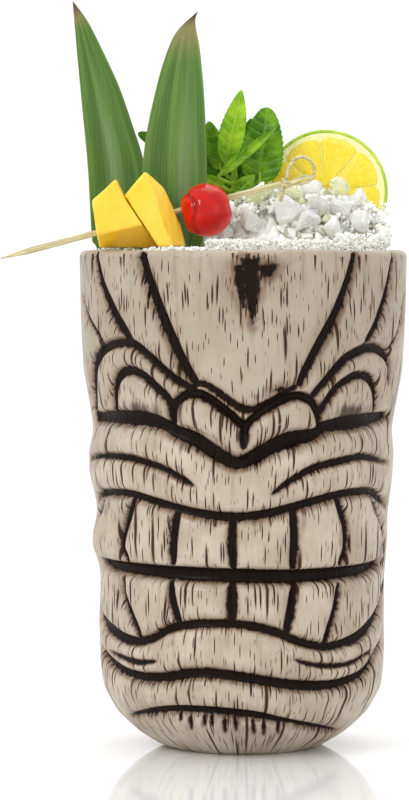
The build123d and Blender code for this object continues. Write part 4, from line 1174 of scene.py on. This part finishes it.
juicy, tree, shader = finish_material("lime_juice_sacs")
sac_angle, sac_out, sac_rim = (read_mask(tree, k) for k in ("sac_angle", "sac_out", "sac_rim"))
polar = add(tree, "CombineXYZ", calc(tree, "MULTIPLY", sac_angle, 7.5),
            calc(tree, "MULTIPLY", sac_out, 2.3), 0.0).outputs[0]
swirl = add(tree, "TexNoise", polar, Scale=0.7, Detail=2.0)
bent = add(tree, "VectorMath", stretched(tree, swirl.outputs["Color"], 0.8, 0.8, 0.0), polar,
           operation="ADD")
sacs = add(tree, "TexVoronoi", bent.outputs[0], voronoi_dimensions="2D", Scale=1.0)
walls = add(tree, "TexVoronoi", bent.outputs[0], voronoi_dimensions="2D",
            feature="DISTANCE_TO_EDGE", Scale=1.0).outputs["Distance"]
luck = add(tree, "SeparateColor", sacs.outputs["Color"]).outputs[0]
colour = tinted(tree, luck, paint(250, 212, 2), paint(253, 226, 16))
colour = tinted(tree, ramp(tree, walls, 0.10, 0.0, 0.0, 0.4), colour, paint(253, 240, 90))
colour = tinted(tree, ramp(tree, sac_rim, 0.72, 1.0, 0.0, 0.4), colour, paint(248, 232, 96))
dress(tree, shader, colour, ramp(tree, luck, 0.0, 1.0, 0.12, 0.3), 0.4, 0.0003,
      ramp(tree, walls, 0.0, 0.3), Subsurface_Weight=0.35, Subsurface_Radius=(1.0, 0.8, 0.1),
      Subsurface_Scale=0.0015, Coat_Weight=0.4, Coat_Roughness=0.08)

points, faces, sac_marks = [], [], []
spread_rows, out_rows, seam = 22, 30, 0.28
for segment in range(segment_count):
    turn = 2 * math.pi * (segment + 0.35) / segment_count
    start = len(points)
    for face_side in (-1, 1):
        for i in range(out_rows):
            for j in range(spread_rows):
                u = 2 * j / (spread_rows - 1) - 1
                w = i / (out_rows - 1)
                r0 = 0.5 * membrane / math.sin(math.pi / segment_count) + 0.35
                r = r0 + (flesh_radius - r0) * w
                swing = math.pi / segment_count - math.asin(0.5 * seam / r)
                corner = max(0.0, (w - 0.88) / 0.12)
                swing *= 1 - 0.16 * corner ** 2
                r -= 0.45 * u ** 4 * corner
                r += 0.22 * noise.noise(Vector((u * 2.2, w * 3, segment * 4.0))) * w
                rim_share = max(abs(u) ** 3, abs(2 * w - 1) ** 5)
                swell = 0.28 * (1 - rim_share) + 0.07 * noise.noise(
                    Vector((7 * swing * u * r * 0.25, r * 0.6, segment)))
                depth = face_side * min(lime_half + 0.05, lime_half - 0.22 + swell)
                angle = turn + u * swing
                points.append(Vector((lime_x + r * math.sin(angle), lime_y + depth,
                                      lime_z + r * math.cos(angle))) * MM)
                sac_marks.append((segment * 3.0 + u, w * 2.2 + segment,
                                  max(abs(u), abs(2 * w - 1))))
    faces += sheet_faces(out_rows, spread_rows, start)
flesh = surface_object("lime_flesh_segments", points, faces, juicy)
for label, values in zip(("sac_angle", "sac_out", "sac_rim"), zip(*sac_marks)):
    mask(flesh, label, values)
stand(flesh, "lime_slice", "lime_flesh", "lime_segments")

# ---------------------------------------------------------------------------------------
# Pick: one strip of split bamboo, sharpened at the far end. At the near end the thin skin
# is bent round into a loop and tied in a flat knot, and its tail hangs below.
# ---------------------------------------------------------------------------------------
knot = np.array([10.7, -18.0, rim_height + 17.8])
pick_slope, pick_length, pick_thick, pick_taper = math.radians(14.9), 77.6, 1.6, 7.0
pick_way = np.array([math.cos(pick_slope), 0.0, math.sin(pick_slope)])

bamboo, tree, shader = finish_material("split_bamboo")
place = add(tree, "TexCoord").outputs["Object"]
turned = add(tree, "VectorRotate", place, (0.0, 0.0, 0.0), (0.0, 1.0, 0.0), pick_slope)
fibre_place = stretched(tree, turned.outputs[0], 90.0, 2600.0, 2600.0)
fibres = add(tree, "TexNoise", fibre_place, Scale=1.0, Detail=3.0).outputs[0]
blotch = add(tree, "TexNoise", place, Scale=160.0, Detail=2.0).outputs[0]
colour = tinted(tree, ramp(tree, fibres, 0.34, 0.66), paint(158, 148, 100), paint(214, 204, 158))
colour = tinted(tree, ramp(tree, blotch, 0.55, 0.72, 0.0, 0.5), colour, paint(188, 186, 108))
dress(tree, shader, colour, ramp(tree, fibres, 0.3, 0.7, 0.35, 0.55), 0.35, 0.0002, fibres)

far = np.linspace(-pick_length, 0.4, 240)
shaft_line = knot + far[:, None] * pick_way
shaft_width = 0.5 * pick_thick * np.clip((far + pick_length) / pick_taper, 0.16, 1) ** 0.7
shaft_width = shaft_width * (1 + 0.03 * np.sin(far * 0.9) + 0.03 * np.sin(far * 0.37 + 1))
shaft = tube("bamboo_shaft", shaft_line, shaft_width, bamboo, 18)
loop_line = through([knot + (-3.5, 0.15, -0.75), knot + (0.2, 0.1, 0.4), knot + (1.1, 0.1, 3.4),
                     knot + (2.6, 0.0, 6.0), knot + (4.6, -0.1, 6.9), knot + (7.0, -0.2, 5.9),
                     knot + (8.1, -0.2, 3.6), knot + (7.5, -0.3, 1.3), knot + (5.6, -0.4, 0.0),
                     knot + (2.8, -0.6, -0.2), knot + (0.6, -0.9, 0.1), knot + (-0.5, -0.5, 0.9)], 120)
loop = tube("bamboo_loop", loop_line, 0.85 + 0.1 * np.sin(np.linspace(0, 5, 120)), bamboo, 14,
            flat=0.5)
band_line = through([knot + (0.2, -0.8, -1.0), knot + (2.4, -0.9, 0.1), knot + (5.0, -0.8, 1.5),
                     knot + (7.4, -0.5, 1.5), knot + (8.0, -0.3, 2.6)], 50)
band = tube("bamboo_band", band_line, np.linspace(0.95, 0.6, 50), bamboo, 12, flat=0.45,
            wide_way=(0, 0.5, 1))
tail_line = through([knot + (0.5, -0.7, 0.8), knot + (-0.2, -0.8, -0.8), knot + (-0.5, -0.7, -2.8),
                     knot + (-0.9, -0.5, -4.9)], 40)
tail = tube("bamboo_tail", tail_line, np.linspace(0.8, 0.5, 40), bamboo, 12, flat=0.35,
            wide_way=(1, 0.3, 0))
for strip in (loop, band, tail):
    strip.parent = shaft
stand(shaft, "pick", "bamboo", "bamboo_pick")

# ---------------------------------------------------------------------------------------
# Fruit on the pick: two knife-cut chunks of ripe mango, wet and slightly rounded at their
# edges, and a cocktail cherry, soft and glossy, pinched where the pick goes in.
# ---------------------------------------------------------------------------------------
fruit_bottom, fruit_depth, fruit_y = rim_height + 0.5, 17.0, -18.0

mango, tree, shader = finish_material("mango_flesh")
place = add(tree, "TexCoord").outputs["Object"]
drawn_out = stretched(tree, place, 190.0, 190.0, 60.0)
fibres = add(tree, "TexNoise", drawn_out, Scale=1.0, Detail=5.0, Roughness=0.6).outputs[0]
ripe = add(tree, "TexNoise", place, Scale=70.0, Detail=2.0).outputs[0]
colour = tinted(tree, ramp(tree, ripe, 0.35, 0.65), paint(248, 202, 40), paint(250, 214, 72))
colour = tinted(tree, ramp(tree, fibres, 0.5, 0.72, 0.0, 0.4), colour, paint(240, 190, 30))
# painted shade: faces that turn downwards are made a deeper, darker gold
normal_up_for_shade = add(tree, "SeparateXYZ", add(tree, "NewGeometry").outputs["Normal"]).outputs[2]
colour = tinted(tree, ramp(tree, normal_up_for_shade, -0.1, -0.6, 0.0, 0.85), colour, paint(222, 170, 14))
wet = calc(tree, "MULTIPLY_ADD", fibres, 1.0, add(tree, "TexNoise", place, Scale=900.0).outputs[0])
dress(tree, shader, colour, ramp(tree, fibres, 0.3, 0.7, 0.28, 0.45), 0.35, 0.0004, wet,
      Subsurface_Weight=0.25, Subsurface_Radius=(1.0, 0.7, 0.1), Subsurface_Scale=0.002,
      Coat_Weight=0.2, Coat_Roughness=0.2)


def fruit_chunk(name, body, outline, lean, slices, node):
    """A leaning prism of fruit, with more flat cuts across it, its edges gone soft."""
    made = bmesh.new()
    lean = math.radians(lean)
    rings = []
    for side in (-0.5, 0.5):
        ring = []
        for x, up in outline:
            back = side * fruit_depth / math.cos(lean) - (up - 8) * math.tan(lean)
            ring.append(made.verts.new((x, fruit_y + back, fruit_bottom + up)))
        rings.append(ring)
    count = len(outline)
    made.faces.new(rings[0])
    made.faces.new(rings[1][::-1])
    for k in range(count):
        after = (k + 1) % count
        made.faces.new((rings[0][k], rings[1][k], rings[1][after], rings[0][after]))
    bmesh.ops.recalc_face_normals(made, faces=made.faces)
    for point, normal in slices:
        cut_edge = bmesh.ops.bisect_plane(made, geom=made.verts[:] + made.edges[:] + made.faces[:],
                                          plane_co=point, plane_no=normal, clear_outer=True)
        edges = [g for g in cut_edge["geom_cut"] if isinstance(g, bmesh.types.BMEdge)]
        bmesh.ops.holes_fill(made, edges=edges)
    mesh = bpy.data.meshes.new(name)
    made.to_mesh(mesh)
    made.free()
    mesh.transform(Matrix.Scale(MM, 4))
    rough = bpy.data.objects.new(name + "_rough", mesh)
    bpy.context.scene.collection.objects.link(rough)
    remesh = rough.modifiers.new("remesh", "REMESH")
    remesh.mode, remesh.voxel_size = "VOXEL", 0.42 * MM
    soften = rough.modifiers.new("soften", "SMOOTH")
    soften.factor, soften.iterations = 0.5, 5
    fine = bpy.data.meshes.new_from_object(
        rough.evaluated_get(bpy.context.evaluated_depsgraph_get()))
    bpy.data.objects.remove(rough)
    spots = np.array([v.co for v in fine.vertices]) / MM
    normals = np.array([v.normal for v in fine.vertices])
    shift = [0.16 * noise.noise(Vector((p[0] * 0.5, p[1] * 0.5, p[2] * 0.22)))
             + 0.06 * noise.noise(Vector((p[0] * 1.9, p[1] * 1.9, p[2] * 0.7))) for p in spots]
    spots = spots + normals * np.array(shift)[:, None]
    faces = [tuple(face.vertices) for face in fine.polygons]
    bpy.data.meshes.remove(fine)
    chunk = surface_object(name, spots * MM, faces, mango)
    stand(chunk, body, "mango", node)


fruit_chunk("mango_outer", "fruit_outer",
            [(-39.9, 12.5), (-33.6, 18.1), (-31.6, 13.8), (-22.6, 0.2), (-38.1, 0.2)], 10.0,
            [((-31.8, fruit_y - 8.2, fruit_bottom + 5.0), (0.15, -0.62, -0.77))],
            "fruit_chunk_outer")
fruit_chunk("mango_inner", "fruit_inner",
            [(-31.4, 13.8), (-25.9, 20.2), (-21.1, 15.9), (-16.8, 6.4), (-15.3, 0.5),
             (-22.4, 0.2)], 4.0,
            [((-22.6, fruit_y - 8.2, fruit_bottom + 12.0), (0.80, -0.55, 0.22))],
            "fruit_chunk_inner")

cherry_red, tree, shader = finish_material("cherry_skin")
place = add(tree, "TexCoord").outputs["Object"]
blush = add(tree, "TexNoise", place, Scale=130.0, Detail=3.0).outputs[0]
crease_shade = read_mask(tree, "cherry_crease_shade")
colour = tinted(tree, ramp(tree, blush, 0.35, 0.65), paint(172, 10, 2), paint(208, 20, 4))
# painted shade: darker red in the fold, in the pinch where the pick goes in and in the dent at the far
# end
colour = tinted(tree, calc(tree, "MULTIPLY", crease_shade, 0.7), colour, paint(118, 4, 6))
wrinkle = add(tree, "TexNoise", place, Scale=420.0, Detail=3.0).outputs[0]
dress(tree, shader, colour, ramp(tree, blush, 0.3, 0.7, 0.14, 0.24), 0.15, 0.0004, wrinkle,
      Subsurface_Weight=0.3, Subsurface_Radius=(1.0, 0.1, 0.05), Subsurface_Scale=0.003,
      Specular_IOR_Level=0.15, Coat_Weight=0.3, Coat_Roughness=0.05)
cherry_low, cherry_high = (np.array(corner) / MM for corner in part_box("cherry"))
centre, cherry_radius = Vector(0.5 * (cherry_low + cherry_high)), 0.5 * (cherry_high[2] - cherry_low[2])
points, crease_shades = [], []
cherry_rows, cherry_cols = 90, 120
axis = Vector(pick_way)
up = Vector((0, 0, 1))
first = axis.cross(up).normalized()
second = first.cross(axis)
for i in range(cherry_rows + 1):
    polar = math.pi * i / cherry_rows
    for j in range(cherry_cols):
        angle = 2 * math.pi * j / cherry_cols
        way = (axis * -math.cos(polar) + first * math.sin(polar) * math.cos(angle)
               + second * math.sin(polar) * math.sin(angle))
        fold_line = polar - 1.02 - 0.13 * math.sin(2 * angle + 0.6) - 0.06 * math.sin(5 * angle)
        fold = math.exp(-(fold_line / 0.10) ** 2) * (0.55 + 0.45 * math.cos(angle - 0.6))
        pinch = math.exp(-(polar / 0.34) ** 2)
        dent = math.exp(-((math.pi - polar) / 0.3) ** 2)
        nub = math.exp(-((polar - 0.62) / 0.16) ** 2) * max(0.0, math.sin(-angle)) ** 4
        r = cherry_radius * (0.985 - 0.055 * fold - 0.13 * pinch - 0.12 * dent + 0.02 * nub)
        r *= 1 + 0.012 * noise.noise(way * 2.1) + 0.004 * noise.noise(way * 6)
        points.append((centre + way * r) * MM)
        crease_shades.append(max(fold, pinch, dent))
fruit = surface_object("cherry_fruit", points, band_faces(cherry_rows, cherry_cols), cherry_red)
mask(fruit, "cherry_crease_shade", crease_shades)
made = bmesh.new()
made.from_mesh(fruit.data)
bmesh.ops.remove_doubles(made, verts=made.verts, dist=1e-7)
bmesh.ops.recalc_face_normals(made, faces=made.faces)
made.to_mesh(fruit.data)
made.free()
stand(fruit, "cherry", "cherry_skin", "cherry")
